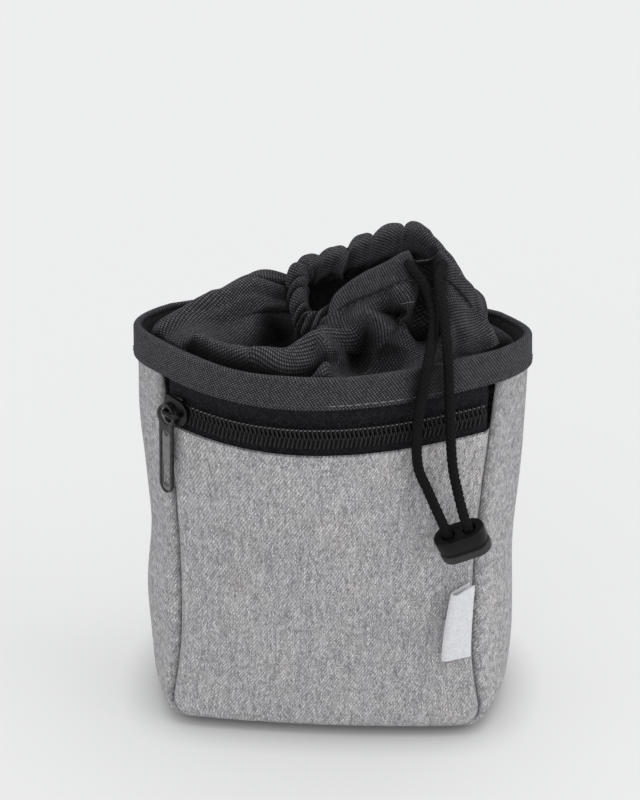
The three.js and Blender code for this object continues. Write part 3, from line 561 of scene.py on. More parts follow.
def zip_tape_material():
    material, tree, shader = new_material("zip_tape")
    woven = weave_node(tree, **TAPE_WEAVE)
    set_sockets(tree, shader, {
        "Base Color": ramp_node(tree, woven["Tone"], TAPE_YARNS),
        "Normal": bump_node(tree, woven["Height"], strength=0.8, distance=0.2),
        "Roughness": 0.8, "Specular IOR Level": 0.12,
    })
    return material


zip_tape = zip_tape_material()
upper_top = BODY_TOP - TAPE_TUCK["binding"]
tape_upper = tape_strip("zip_tape_upper", ZIP_CENTRE + GAP, upper_top, rows=30)
lower_bottom = PANEL_TOP - TAPE_TUCK["panel"]
tape_lower = tape_strip("zip_tape_lower", lower_bottom, ZIP_CENTRE - GAP, rows=20)

# The zip's coil: two nylon wires, each wound flat and sewn along the edge of its tape, whose turns mesh in
# the middle. The thread of the upper row shows as a line of pale dots.
COIL = {
    "pitch": 1.42, "wire": 0.36, "middle": 1.45, "reach": 1.85, "height": 0.62, "sink": 0.35, "lean": 0.66,
    "stop": 2, "end": 0.8, "steps": 14,
}
COIL_THREAD = {"from": 1.5, "to": 0.5, "drop": 0.25, "out": 0.25, "half": (0.3, -0.12, 0.1), "thick": 0.18}
SLIDER = {"x": -47.5, "length": 11, "height": 10, "plate": 1.2, "clear": 0.7}
coil_left = SLIDER["x"] + SLIDER["length"] / 2 - COIL["stop"]
coil_right = zip_end - COIL["end"]


def tube_mesh(paths, radius, sides):
    """Points, side faces and end faces of round tubes along paths."""
    points, quads, caps = [], [], []
    turn = np.linspace(0, 2 * np.pi, sides, endpoint=False)
    for path in paths:
        path = np.asarray(path, float)
        ahead = np.gradient(path, axis=0)
        ahead /= np.linalg.norm(ahead, axis=1, keepdims=True)
        helper = (0, 0, 1.0) if abs(ahead[0, 2]) < 0.9 else (1.0, 0, 0)
        across = np.cross(ahead[0], helper)
        start = len(points)
        for centre, direction in zip(path, ahead):
            across = across - direction * np.dot(across, direction)
            across = across / np.linalg.norm(across)
            other = np.cross(direction, across)
            points.extend(centre + radius * (np.cos(a) * across + np.sin(a) * other) for a in turn)
        last = len(points) - sides
        for low in range(start, last, sides):
            for k in range(sides):
                after = (k + 1) % sides
                quads.append((low + k, low + after, low + sides + after, low + sides + k))
        for k in range(1, sides - 1):
            caps.append((start, start + k + 1, start + k))
            caps.append((last, last + k, last + k + 1))
    return np.array(points), quads, caps


def add_tubes(name, paths, radius, material, sides=6):
    """Round tubes as one object."""
    points, quads, caps = tube_mesh(paths, radius, sides)
    mesh = bpy.data.meshes.new(name)
    mesh.from_pydata((points * MM).tolist(), [], quads + caps)
    mesh.shade_smooth()
    mesh.materials.append(material)
    return placed(name, mesh)


def coil_row(side):
    """The wire of one row, wound flat about a line above or below the middle of the zip."""
    turns = (coil_right - coil_left) / COIL["pitch"]
    t = np.linspace(0, turns, int(turns * COIL["steps"]))
    angle = 2 * np.pi * (t + (0.5 if side > 0 else 0.0))
    x = coil_left + COIL["pitch"] * t
    z = ZIP_CENTRE + side * (COIL["middle"] - COIL["reach"] * np.cos(angle))
    out = COIL["height"] * np.sin(angle) - COIL["sink"]
    return np.stack([x + COIL["lean"] * np.cos(angle), front_y(x, z) - out, z], axis=-1)


def nylon_material():
    material, tree, shader = new_material("zip_nylon")
    stops = [(0.3, 0.004, 0.004, 0.0045), (0.75, 0.013, 0.013, 0.014)]
    set_sockets(tree, shader, {
        "Base Color": ramp_node(tree, grain_node(tree, scale=900.0, detail=2.0), stops),
        "Roughness": 0.5, "Specular IOR Level": 0.3,
    })
    return material


coil_wires = add_tubes("zip_coil_wires", [coil_row(-1), coil_row(1)], COIL["wire"], nylon_material())
on_bag(coil_wires, "zip_coil")


def thread_material(name, colour):
    """Sewing thread of one colour, with painted shade between the turns of its twist."""
    material, tree, shader = new_material(name)
    twist = add_node(tree, "TexWave", {"Scale": 1800.0, "Distortion": 1.0}, bands_direction="DIAGONAL")
    # painted shade between the turns of the twist
    stops = [(place, *(share * part for part in colour)) for place, share in ((0.0, 0.65), (1.0, 1.1))]
    set_sockets(tree, shader, {
        "Base Color": ramp_node(tree, twist.outputs["Fac"], stops), "Roughness": 0.7,
    })
    return material


def coil_stitches():
    """Short stitches over each turn of the upper row, near its outer edge."""
    spots = np.arange(coil_left + COIL_THREAD["from"], coil_right - COIL_THREAD["to"], COIL["pitch"])
    z = ZIP_CENTRE + COIL["middle"] + COIL["reach"] - COIL_THREAD["drop"]
    middles = np.stack([spots, front_y(spots, z) - COIL_THREAD["out"], np.full(len(spots), z)], axis=-1)
    right, back, up = COIL_THREAD["half"]
    return [np.stack([spot + (-right, -back, -up), spot, spot + (right, -back, up)]) for spot in middles]


grey_thread = thread_material("grey_thread", (0.19, 0.19, 0.195))
on_bag(add_tubes("zip_stitches", coil_stitches(), COIL_THREAD["thick"], grey_thread))

# The slider: a small die-cast body with a crown over its front, plated dark, at the zip's left end. The
# pull hangs by its eye on the crown.
PLATE_EDGE = {"taper": 1, "shoulder": 2, "nose": 0.4, "nose_turn": 66, "bevel": 0.3}
CROWN = {"reach": 3, "bar": 1.6, "height": 3.8, "root": 0.2, "bend": 1.2, "bend_middle": 0.35}
FLANGE = {"from": -4, "to": 2, "thick": 1, "edge": 0.3, "swell": 0.15}
PLATE_SHARP = math.radians(35)


def slider_axes():
    """The slider's own axes as a matrix in metres: X along the zip, Y into the bag, Z up the front."""
    x, half = SLIDER["x"], SLIDER["height"] / 2
    along = Vector((2, float(front_y(x + 1, ZIP_CENTRE) - front_y(x - 1, ZIP_CENTRE)), 0)).normalized()
    rise = Vector((0, float(front_y(x, ZIP_CENTRE + half) - front_y(x, ZIP_CENTRE - half)), 2 * half))
    into = rise.cross(along).normalized()
    axes = Matrix((along, into, along.cross(into))).transposed().to_4x4()
    return Matrix.Translation(Vector((x, float(front_y(x, ZIP_CENTRE)), ZIP_CENTRE)) * MM) @ axes


def arc(x, y, radius, start, end, count):
    angle = np.radians(np.linspace(start, end, count))
    return np.stack([x + radius * np.cos(angle), y + radius * np.sin(angle)], axis=-1)


def plate_object(name, loops, thick, bevel, material):
    """A flat plate with holes and rounded edges, from outlines in millimetres, lying in its own X and Y."""
    curve = bpy.data.curves.new(name, "CURVE")
    curve.dimensions = "2D"
    curve.fill_mode = "BOTH"
    curve.extrude = (thick / 2 - bevel) * MM
    curve.bevel_depth = bevel * MM
    curve.offset = -bevel * MM
    curve.bevel_resolution = 3
    for loop in loops:
        spline = curve.splines.new("POLY")
        spline.points.add(len(loop) - 1)
        rows = np.c_[np.asarray(loop) * MM, np.zeros(len(loop)), np.ones(len(loop))]
        spline.points.foreach_set("co", rows.ravel())
        spline.use_cyclic_u = True
    shaped = placed(name + "_curve", curve)
    bpy.context.view_layer.update()
    mesh = bpy.data.meshes.new_from_object(shaped.evaluated_get(bpy.context.evaluated_depsgraph_get()))
    bpy.data.objects.remove(shaped)
    mesh.name = name
    welded = bmesh.new()
    welded.from_mesh(mesh)
    bmesh.ops.remove_doubles(welded, verts=welded.verts, dist=0.002 * MM)
    bmesh.ops.recalc_face_normals(welded, faces=welded.faces)
    welded.to_mesh(mesh)
    welded.free()
    mesh.materials.clear()
    mesh.materials.append(material)
    mesh.shade_smooth()
    mesh.set_sharp_from_angle(angle=PLATE_SHARP)
    return placed(name, mesh)


def gunmetal_material(name, low, high):
    """Dark plating between two greys, with a fine uneven polish."""
    material, tree, shader = new_material(name)
    place = add_node(tree, "TexCoord", {}).outputs["Object"]
    grain = grain_node(tree, scale=700.0, detail=4.0, place=place)
    set_sockets(tree, shader, {
        "Base Color": ramp_node(tree, grain, [(0.3, low, low, low), (0.8, high, high, high)]),
        "Roughness": spread(tree, grain, 0.26, 0.44), "Metallic": 0.9,
    })
    return material


def turned_up(piece, depth):
    """Stands a flat plate up in the slider's own axes, with its middle at a depth, and places it there."""
    stand = Matrix.Rotation(math.pi / 2, 4, "X")
    piece.data.transform(slider_axes() @ Matrix.Translation(Vector((0, depth, 0)) * MM) @ stand)
    return piece


def joined(name, pieces):
    """Several objects as one mesh object."""
    whole = bmesh.new()
    mesh = pieces[0].data
    for piece in pieces:
        material = piece.data.materials[0]
        if material.name not in mesh.materials:
            mesh.materials.append(material)
        faces = piece.data.polygons
        faces.foreach_set("material_index", [mesh.materials.find(material.name)] * len(faces))
        whole.from_mesh(piece.data)
    whole.to_mesh(mesh)
    whole.free()
    for piece in pieces[1:]:
        bpy.data.objects.remove(piece)
    pieces[0].name = name
    mesh.name = name
    return pieces[0]


def slider_plate():
    """The front plate: square at its left end and round at the end that faces the coil."""
    end, top = SLIDER["length"] / 2, SLIDER["height"] / 2
    taper, corner = PLATE_EDGE["taper"], PLATE_EDGE["shoulder"]
    nose, nose_turn = PLATE_EDGE["nose"], PLATE_EDGE["nose_turn"]
    outline = np.concatenate([
        arc(-end + corner, top - corner, corner, 90, 180, 8),
        arc(-end + corner, -top + corner, corner, 180, 270, 8),
        arc(end - 4 * taper - nose, 0, top - taper + nose, -nose_turn, nose_turn, 14),
    ])
    plate = plate_object("slider_plate", [outline], SLIDER["plate"], PLATE_EDGE["bevel"], black_metal)
    return turned_up(plate, -SLIDER["clear"] - SLIDER["plate"] / 2)


def slider_crown():
    """The arch over the plate that the pull hangs on, and the two flanges that close over the coil."""
    face = -(SLIDER["clear"] + SLIDER["plate"])
    far = face - CROWN["height"] + CROWN["bar"] / 2
    reach, bend, middle = CROWN["reach"], CROWN["bend"], CROWN["bend_middle"]
    left = [
        (-reach, face + CROWN["root"], 0), (-reach, far + bend, 0), (-reach + middle, far + middle, 0),
        (-reach + bend, far, 0),
    ]
    bow = left + [(-x, y, z) for x, y, z in left[::-1]]
    rise = SLIDER["height"] / 2 - FLANGE["edge"] - FLANGE["thick"] / 2
    flanges = [[(x, 0, side * rise) for x in (FLANGE["from"], FLANGE["to"])] for side in (-1, 1)]
    crown = add_tubes("slider_crown", [bow], CROWN["bar"] / 2, black_metal, 12)
    grips = add_tubes("slider_grips", flanges, FLANGE["thick"] / 2 + FLANGE["swell"], black_metal, 10)
    for piece in (crown, grips):
        piece.data.transform(slider_axes())
    return crown, grips


black_metal = gunmetal_material("black_metal", 0.015, 0.035)
on_bag(joined("zip_slider_metal", [slider_plate(), *slider_crown()]), "zip_slider")

# The pull: a flat stamped tab in the same plating, with an eye at its top, a raised rim round a sunk grey
# face, a small slot and a long hole near its end. It swings from the crown's left leg.
PULL = {
    "thick": 1.2, "eye": 3, "rim": 1.2, "width": 6.4, "length": 31.5,
    "clear": 0.5, "play": 0.1, "bevel": 0.28,
}
PULL_WEB = {"inset": 0.25, "thick": 0.5, "bevel": 0.1, "sink": 0.05}
PEAR = 0.3  # how far the eye's top is drawn in
SMALL_SLOT = {"below_eye": 1.6, "width": 1.8, "length": 3.0}
LONG_HOLE = {"above_end": 6.4, "width": 3.9, "length": 9}
SUNK_FACE = {"drop": 0.4, "width": PULL["width"] - 2.2, "length": PULL["length"] - 9.6}
EYE_ROOM = 0.05
eye_drop = PULL["eye"] - CROWN["bar"] / 2 * math.sqrt(2) - PULL["play"]
eye_outer = PULL["eye"] + PULL["rim"]
eye_bottom = -eye_drop - eye_outer
pull_bottom = eye_outer - eye_drop - PULL["length"]
pull_half = PULL["width"] / 2


def slot_loop(y, width, length):
    """The outline of a slot with round ends."""
    radius = width / 2
    straight = length / 2 - radius
    ends = arc(0, y + straight, radius, 0, 180, 12), arc(0, y - straight, radius, 180, 360, 12)
    return np.concatenate(ends)


def pear(loop):
    """Draws the upper half of the eye in towards its top, so that it isn't quite round."""
    above = np.maximum(loop[:, 1] + eye_drop, 0) / eye_outer
    return np.stack([loop[:, 0] * (1 - PEAR * above**2), loop[:, 1]], axis=-1)


def pull_outline(inset):
    """The tab's outline, or one a little inside it: a pear-shaped eye that runs into a straight tab."""
    half, eye = pull_half - inset, eye_outer - inset
    neck = math.degrees(math.asin(half / eye))
    return np.concatenate([
        pear(arc(0, -eye_drop, eye, -90 + neck, 270 - neck, 40)),
        arc(0, pull_bottom + pull_half, half, 180, 360, 20),
    ])


def pull_tab():
    """The raised rim, and the thinner web inside it."""
    eye, eye_rim = (pear(arc(0, -eye_drop, PULL["eye"] + room, 0, 360, 41)[:-1]) for room in (0, EYE_ROOM))
    small_slot = slot_loop(eye_bottom - SMALL_SLOT["below_eye"], SMALL_SLOT["width"], SMALL_SLOT["length"])
    long_hole = slot_loop(pull_bottom + LONG_HOLE["above_end"], LONG_HOLE["width"], LONG_HOLE["length"])
    web_loops = [pull_outline(PULL_WEB["inset"]), eye, small_slot, long_hole]
    web = plate_object("pull_web", web_loops, PULL_WEB["thick"], PULL_WEB["bevel"], sunk_grey)
    face_middle = (eye_bottom + pull_bottom) / 2 - SUNK_FACE["drop"]
    sunk_face = slot_loop(face_middle, SUNK_FACE["width"], SUNK_FACE["length"])
    rim_loops = [pull_outline(0), eye_rim, sunk_face]
    rim = plate_object("pull_rim", rim_loops, PULL["thick"], PULL["bevel"], gunmetal)
    return [rim, web]


gunmetal = gunmetal_material("gunmetal", 0.035, 0.075)
sunk_grey = gunmetal_material("sunk_grey_metal", 0.17, 0.23)
pull_pieces = pull_tab()
pull_depth = -(SLIDER["clear"] + SLIDER["plate"]) - PULL["clear"] - PULL["thick"] / 2
for piece, sunk in zip(pull_pieces, (0, PULL_WEB["sink"])):
    piece.data.transform(Matrix.Translation(Vector((-CROWN["reach"], 0, 0)) * MM))
    turned_up(piece, pull_depth + sunk)
zip_pull = joined("zip_pull_metal", pull_pieces)
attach(zip_pull, "pull")
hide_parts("zip_pull")

# The binding: a bias-cut strip of charcoal cloth folded over the top edge of the body all round, and sewn
# through along its lower edges.
BINDING_DROP = 10.5
BINDING_LEGS = {"out": 0.9, "top_out": 0.6, "fold": 1.1, "in": 4.2, "in_from": 6.5, "ply": 0.7}
BINDING_GRID = {"leg": 14, "fold": 15, "columns": 420, "seam_row": 2}
BINDING_SOFT = {"height": 0.3, "size": 16, "seed": 21}
OUTLINE = {"side": 200, "face": 300, "beside": 6}
CHARCOAL_WEAVE = {"pitch": (0.56, 0.56), "repeat": 2.0, "stretch": 1.5}
CHARCOAL_WARP = [(0.0, 0.068, 0.068, 0.075), (1.0, 0.136, 0.136, 0.147)]
CHARCOAL_WEFT = [(0.0, 0.008, 0.008, 0.010), (1.0, 0.02, 0.02, 0.023)]
# painted shade: the charcoal cloth is darkened where other cloth lies this near, deep in its hollows and
# folds
CHARCOAL_SHADE_REACH = 16  # how near other cloth darkens a hollow
STITCH = {"pitch": 2.7, "length": 2.0, "thick": 0.2, "rise": 0.22, "sink": 0.12, "points": 6}
PALE_RUN = {"from": 1, "to": 23}  # where the binding's thread shows paler, across the front


def far_along(line):
    """How far each point of a line lies along it."""
    return np.concatenate([[0], np.cumsum(np.linalg.norm(np.diff(line, axis=0), axis=1))])


def at_spots(spots, far, rows):
    """Rows of numbers along a line, at given distances along it."""
    return np.stack([np.interp(spots, far, column) for column in rows.T], axis=-1)


def outline_at(z, out, count):
    """The body's outline at one height, from the front right seam round by the back, moved out a little."""
    seam = float(body_at("seam", z))
    half_turn = np.sin(np.pi * np.linspace(0, 1, OUTLINE["side"]))
    swell = (float(body_at("side", z)) - seam) * half_turn ** float(body_at("round", z))
    side_y = np.linspace(float(front_y(seam, z)), float(back_y(seam, z)), OUTLINE["side"])
    x = np.linspace(seam, -seam, OUTLINE["face"])
    loop = np.concatenate([
        np.stack([seam + swell, side_y], axis=-1)[:-1],
        np.stack([x, back_y(x, z)], axis=-1)[:-1],
        np.stack([-seam - swell, side_y[::-1]], axis=-1)[:-1],
        np.stack([-x, front_y(-x, z)], axis=-1)[:-1],
    ])
    along = np.roll(loop, -OUTLINE["beside"], axis=0) - np.roll(loop, OUTLINE["beside"], axis=0)
    along /= np.linalg.norm(along, axis=1, keepdims=True)
    loop = loop + out * np.stack([along[:, 1], -along[:, 0]], axis=-1)
    ring = np.concatenate([loop, loop[:1]])
    far = far_along(ring)
    spots = np.linspace(0, far[-1], count, endpoint=False)
    return np.column_stack([at_spots(spots, far, ring), np.full(count, float(z))])


def binding_section():
    """Points across the middle of the folded strip, from its outer lower edge to its inner lower edge."""
    fold, out = BINDING_LEGS["fold"], BINDING_LEGS["top_out"]
    centre = out - fold
    start = fold + BINDING_LEGS["ply"] / 2
    rise = np.linspace(BINDING_DROP, start, BINDING_GRID["leg"])[:-1]
    lean = (rise - start) / (BINDING_DROP - start)
    outer = [(out + (BINDING_LEGS["out"] - out) * t, down) for t, down in zip(lean, rise)]
    turn = np.linspace(0, np.pi, BINDING_GRID["fold"])
    over = [(centre + fold * np.cos(a), start - fold * np.sin(a)) for a in turn]
    drop = np.linspace(start, BINDING_DROP, BINDING_GRID["leg"])[1:]
    into = np.clip((drop - start) / (BINDING_LEGS["in_from"] - start), 0, 1)
    inner = [(centre - fold + (fold - centre - BINDING_LEGS["in"]) * t, down) for t, down in zip(into, drop)]
    return outer + over + inner


def charcoal_cloth_material(name, turn):
    """Charcoal basket weave, whose weft lies dark between its warp; painted shade darkens its yarns' hollows
    and its folds.
    """
    material, tree, shader = new_material(name)
    woven = weave_node(tree, **CHARCOAL_WEAVE, turn=math.radians(turn))
    warp, weft = (ramp_node(tree, woven["Tone"], stops) for stops in (CHARCOAL_WARP, CHARCOAL_WEFT))
    yarns = add_node(tree, "Mix", {"Factor": woven["Over"], 6: weft, 7: warp}, data_type="RGBA").outputs[2]
    painted_fold_shade = add_node(tree, "AmbientOcclusion", {"Distance": CHARCOAL_SHADE_REACH * MM}, samples=8)
    # painted shade: darker in the weave's hollows, and in folds where other cloth lies near
    colour = multiplied(
        tree, yarns, spread(tree, woven["Height"], 0.35, 1.0, high=0.8),
        spread(tree, painted_fold_shade.outputs["AO"], 0.10, 1.0, 0.40, 0.94),
    )
    set_sockets(tree, shader, {
        "Base Color": colour, "Normal": bump_node(tree, woven["Height"], strength=0.8, distance=0.3),
        "Roughness": 0.75, "Specular IOR Level": 0.14, "Sheen Weight": 0.03,
    })
    return material


def stitch_row(line, normals):
    """Stitches along a closed line on cloth, each rising a little between the holes at its ends."""
    ring = np.concatenate([line, line[:1]])
    ways = np.concatenate([normals, normals[:1]])
    far = far_along(ring)
    share = np.linspace(0, 1, STITCH["points"])
    rise = STITCH["rise"] * np.sin(np.pi * share) - STITCH["sink"]
    rows = []
    for start in np.arange(0, far[-1] - STITCH["pitch"], STITCH["pitch"]):
        spots = start + STITCH["length"] * share
        rows.append(at_spots(spots, far, ring) + rise[:, None] * at_spots(spots, far, ways))
    return rows


def runs_pale(stitch):
    x, y, _ = stitch[0]
    return y < 0 and PALE_RUN["from"] < x < PALE_RUN["to"]


binding_cloth = charcoal_cloth_material("charcoal_binding_cloth", 6)
binding_middle = np.stack([
    outline_at(RIM_HEIGHT - down, out, BINDING_GRID["columns"]) for out, down in binding_section()
])
binding_normals = normals_of(binding_middle, True)
binding_bumps = BINDING_SOFT["height"] * ripple(binding_middle, BINDING_SOFT["size"], BINDING_SOFT["seed"])
binding_middle = binding_middle + binding_bumps[..., None] * binding_normals
binding_half = BINDING_LEGS["ply"] / 2 * binding_normals
binding_outer = binding_middle + binding_half
mouth_binding = cloth_piece(
    "mouth_binding_cloth", binding_outer, binding_middle - binding_half, binding_cloth, True
)
on_bag(mouth_binding, "mouth_binding")
dark_thread = thread_material("charcoal_thread", (0.045, 0.045, 0.05))
# a paler copy of the binding's thread, for a stretch of its stitches across the front and for the loose ends
pale_thread = thread_material("paler_thread", (0.17, 0.17, 0.18))
seam_row = BINDING_GRID["seam_row"]
binding_rows = stitch_row(binding_outer[seam_row], binding_normals[seam_row])
dark_rows = [stitch for stitch in binding_rows if not runs_pale(stitch)]
pale_rows = [stitch for stitch in binding_rows if runs_pale(stitch)]
on_bag(add_tubes("binding_stitches", dark_rows, STITCH["thick"], dark_thread))
on_bag(add_tubes("binding_pale_stitches", pale_rows, STITCH["thick"], pale_thread))

# The collar: a tube of the charcoal cloth, sewn in below the binding and drawn together by the cord in its
# hem. It stands high on the right, falls in soft folds on the left and is gathered round most of the hem.
COLLAR_FOOT = 16
COLLAR_INSET = {"foot": -6.4, "rim": -4.1, "drop": 3}
COLLAR_COLUMNS = 480
COLLAR_ROWS = {"foot": 4, "wall": 69, "hem": 30, "smoothing": 6}
COLLAR_CUT = 70  # degrees round the bag, at the back, where the weave's lay starts and ends
RIM_AT = 0.1
HEM_AT = 0.76
HEM = {"height": 9.5, "lean": 0.7, "flat": 2.0, "puff": 3.3, "edge": 0.15}
HEM_GROOVE = {"depth": 0.45, "width": 0.012, "least": 0.3}
MOUTH = {"centre": -6, "half_width": 58, "half_depth": 32}
# The size of a degree round the collar at its foot, how much of it is lost at its top, and its height.
COLLAR_SPREAD = {"degree": 0.95, "lost": 0.6, "height": 55}
WRINKLES = {"height": 0.9, "degrees": 7, "up": 2.4, "seed": 31, "full": 0.4}
GATHERS = {"crown": 0.8, "from": 58, "to": 258, "fade": 10, "puff": 1.7, "level": 0.6}
GATHER_RISE = {"low": 0.42, "high": HEM_AT + 0.04}
GATHER_CREASES = [
    # degrees round the bag and depth in mm; the hem puffs out between its creases
    (48, 0.2), (71, 1.7), (92, 1.0), (113, 2.4), (140, 0.8), (166, 2.0), (180, 0.8), (188, 1.9), (203, 0.7),
    (212, 1.7), (228, 0.8), (238, 1.3), (250, 0.8), (264, 0.3),
]
# Degrees round the bag, the top edge of the hem there, and how far the cloth stands off the straight way
# from the rim to the hem at a quarter, a half and three quarters of it.
COLLAR_GUIDES = table("at x y z near middle far", [
    (10, 45, 1.5, 147.5, -12, -11, -4),
    (30, 38, 3.5, 157, -9, -8, -3),
    (50, 31, 6, 164.5, -4, -3, 0),
    (65, 25.5, 9, 166.5, 1, 2, 2),
    (85, 15.5, 9.5, 163.5, 3, 4, 3),
    (105, 8, 9.5, 160, 3, 4, 3),
    (125, 0, 9.5, 156, 4, 4.5, 3),
    (150, -6, 8, 154, 3.5, 5.5, 7),
    (172, -9, 4, 152.5, 3, 4.5, 7.5),
    (196, -8.5, -2, 145.5, 3, -1, -2),
    (222, -5.5, -7, 140.5, 0.5, -8, -9),
    (245, 0, -10, 144.5, 1, -6, -8),
    (262, 8, -10, 155, -1, -3, -4),
    (285, 17.5, -10, 160.5, -6, -2, 1),
    (306, 25.5, -11, 165, -5, -1, 0),
    (314, 29.5, -5, 159, -2, -3, -4),
    (322, 34.5, -8, 164, 0, 0, 0),
    (336, 43.5, -5, 152, 1, 2, 1),
    (346, 46.2, -3, 148, 0, 1, 0.5),
    (356, 47, -0.5, 146, -11, -10, -3),
])
# A fold's crest or hollow: from and to in degrees round the bag and shares of the collar's height, its
# half-width in mm, and how far it stands out or goes in.
COLLAR_FOLDS = table("from low to high wide out", [
    (205, 0.20, 241, 0.235, 3.0, 5),
    (241, 0.235, 261, 0.53, 3.0, 6),
    (206, 0.12, 250, 0.14, 3.2, -9),
    (249, 0.16, 263, 0.27, 4.2, -14),
    (222, 0.38, 244, 0.44, 4.5, -6),
    (198, 0.68, 214, 0.65, 5, -12),
    (236, 0.60, 246, 0.62, 4, -7),
    (269, 0.12, 265, 0.38, 2.3, 6.5),
    (265, 0.38, 256, 0.73, 2.5, 5.5),
    (273, 0.50, 283, 0.32, 4, -14),
    (279, 0.28, 297, 0.20, 6, -6),
    (286, 0.66, 302, 0.47, 3.2, -11),
    (304, 0.44, 314, 0.46, 6, -9),
    (278, 0.60, 300, 0.70, 6, 2.5),
    (314, 0.95, 313, 0.45, 3.5, -5),
    (330, 0.15, 326, 0.5, 5, -2),
    (346, 0.2, 341, 0.74, 2.2, 4),
    (2, 0.2, 358, 0.6, 6, -8),
    (182, 0.13, 172, 0.42, 2.8, 2.5),
    (170, 0.12, 160, 0.38, 4.5, -1.5),
    (190, 0.4, 184, 0.7, 6, -2.5),
    (150, 0.3, 140, 0.66, 6, -3.5),
    (110, 0.25, 104, 0.66, 6, -4),
    (76, 0.25, 78, 0.66, 7, -3.5),
])
FOLD_POWER = {"crest": 2, "hollow": 1.4}
FOLD_RISE = {"low": RIM_AT - 0.02, "high": RIM_AT + 0.06}
EASE = 0.5  # how much of its folds the cloth has where its weave is laid out
CROSSWISE = 0.4  # how much the lay keeps to even steps across a thread
LOOSE_END = {"thick": 0.13, "curl": (0, -0.5, 0.3), "points": 8}
LOOSE_ENDS = [
    # degrees round the bag, share of the collar's height, and the way that the thread's end points, in mm
    {"at": 297, "level": 0.62, "way": (4.0, -1.5, 1.6)},
    {"at": 328, "level": 0.88, "way": (1.5, -1.5, 1.8)},
]


def smooth_step(value, low, high):
    t = np.clip((value - low) / (high - low), 0, 1)
    return t * t * (3 - 2 * t)


def turn_between(a, b):
    return (a - b + 180) % 360 - 180


def guide_at(name, degrees):
    """One column of the guides at any angle, without swinging past its rows."""
    places, values = (np.array([row[key] for row in COLLAR_GUIDES], float) for key in ("at", name))
    places = np.concatenate([places[-2:] - 360, places, places[:2] + 360])
    values = np.concatenate([values[-2:], values, values[:2]])
    secants = np.diff(values) / np.diff(places)
    product = secants[1:] * secants[:-1]
    total = np.where(product > 0, secants[1:] + secants[:-1], 1)
    inner = np.where(product > 0, 2 * product / total, 0)
    slopes = np.concatenate([secants[:1], inner, secants[-1:]])
    return curve_at(places, values, slopes, np.asarray(degrees, float) % 360)


def hem_edge(degrees):
    """The hem's top edge at an angle, and the way down its band, between plumb and towards the rim."""
    angle = np.radians(degrees)
    top = np.stack([guide_at(name, degrees) for name in ("x", "y", "z")], axis=-1)
    rim = np.stack([
        MOUTH["half_width"] * np.cos(angle),
        MOUTH["centre"] + MOUTH["half_depth"] * np.sin(angle),
        np.full_like(angle, RIM_HEIGHT),
    ], axis=-1)
    toward = (rim - top) / np.linalg.norm(rim - top, axis=-1, keepdims=True)
    down = toward * HEM["lean"] + (0, 0, -1)
    return top, down / np.linalg.norm(down, axis=-1, keepdims=True)


def collar_middle(levels):
    """The collar's middle layer and the angle of each of its columns, before its folds."""
    foot = outline_at(RIM_HEIGHT - COLLAR_FOOT, COLLAR_INSET["foot"], COLLAR_COLUMNS)
    rim = outline_at(RIM_HEIGHT - COLLAR_INSET["drop"], COLLAR_INSET["rim"], COLLAR_COLUMNS)
    angle = np.arctan2((rim[:, 1] - MOUTH["centre"]) / MOUTH["half_depth"], rim[:, 0] / MOUTH["half_width"])
    degrees = np.degrees(angle)
    top, down = hem_edge(degrees)
    hem_foot = top + HEM["height"] * down
    chord = hem_foot - rim
    stand = np.cross(np.roll(rim, -1, axis=0) - np.roll(rim, 1, axis=0), chord)
    stand /= np.linalg.norm(stand, axis=1, keepdims=True)
    zero = np.zeros_like(degrees)
    stands = np.stack([zero, *(guide_at(name, degrees) for name in ("near", "middle", "far")), zero])
    places = np.linspace(0, 1, len(stands))
    slopes = slopes_of(places, stands)
    rows = []
    for level in levels:
        if level <= RIM_AT:
            rows.append(foot + (rim - foot) * level / RIM_AT)
        elif level >= HEM_AT:
            rows.append(hem_foot + (top - hem_foot) * (level - HEM_AT) / (1 - HEM_AT))
        else:
            t = (level - RIM_AT) / (HEM_AT - RIM_AT)
            rows.append(rim + chord * t + stand * curve_at(places, stands, slopes, t)[:, None])
    return np.stack(rows), degrees


def fold_strength(fold, degrees, level):
    """How strongly one fold acts at each place, from its distance to the line of the fold."""
    lost = COLLAR_SPREAD["lost"]
    mean_level = (fold["low"] + fold["high"]) / 2
    wide = turn_between(fold["to"], fold["from"]) * (COLLAR_SPREAD["degree"] - lost * mean_level)
    height = COLLAR_SPREAD["height"] * (fold["high"] - fold["low"])
    across = turn_between(degrees, fold["from"]) * (COLLAR_SPREAD["degree"] - lost * level)
    up = COLLAR_SPREAD["height"] * (level - fold["low"])
    t = np.clip((across * wide + up * height) / (wide**2 + height**2), 0, 1)
    away = np.hypot(across - t * wide, up - t * height) / fold["wide"]
    return np.exp(-(away ** FOLD_POWER["crest" if fold["out"] > 0 else "hollow"]))


collar_levels = np.concatenate([
    np.linspace(0, RIM_AT, COLLAR_ROWS["foot"] + 1)[:-1],
    np.linspace(RIM_AT, HEM_AT, COLLAR_ROWS["wall"] + 1)[:-1],
    np.linspace(HEM_AT, 1, COLLAR_ROWS["hem"]),
])
collar_mid, collar_turn = collar_middle(collar_levels)
for _ in range(COLLAR_ROWS["smoothing"]):
    collar_mid[1:-1] = (collar_mid[:-2] + 2 * collar_mid[1:-1] + collar_mid[2:]) / 4
    collar_mid = (np.roll(collar_mid, 1, axis=1) + 2 * collar_mid + np.roll(collar_mid, -1, axis=1)) / 4
collar_normals = normals_of(collar_mid, True)
degrees, level = np.meshgrid(collar_turn, collar_levels)

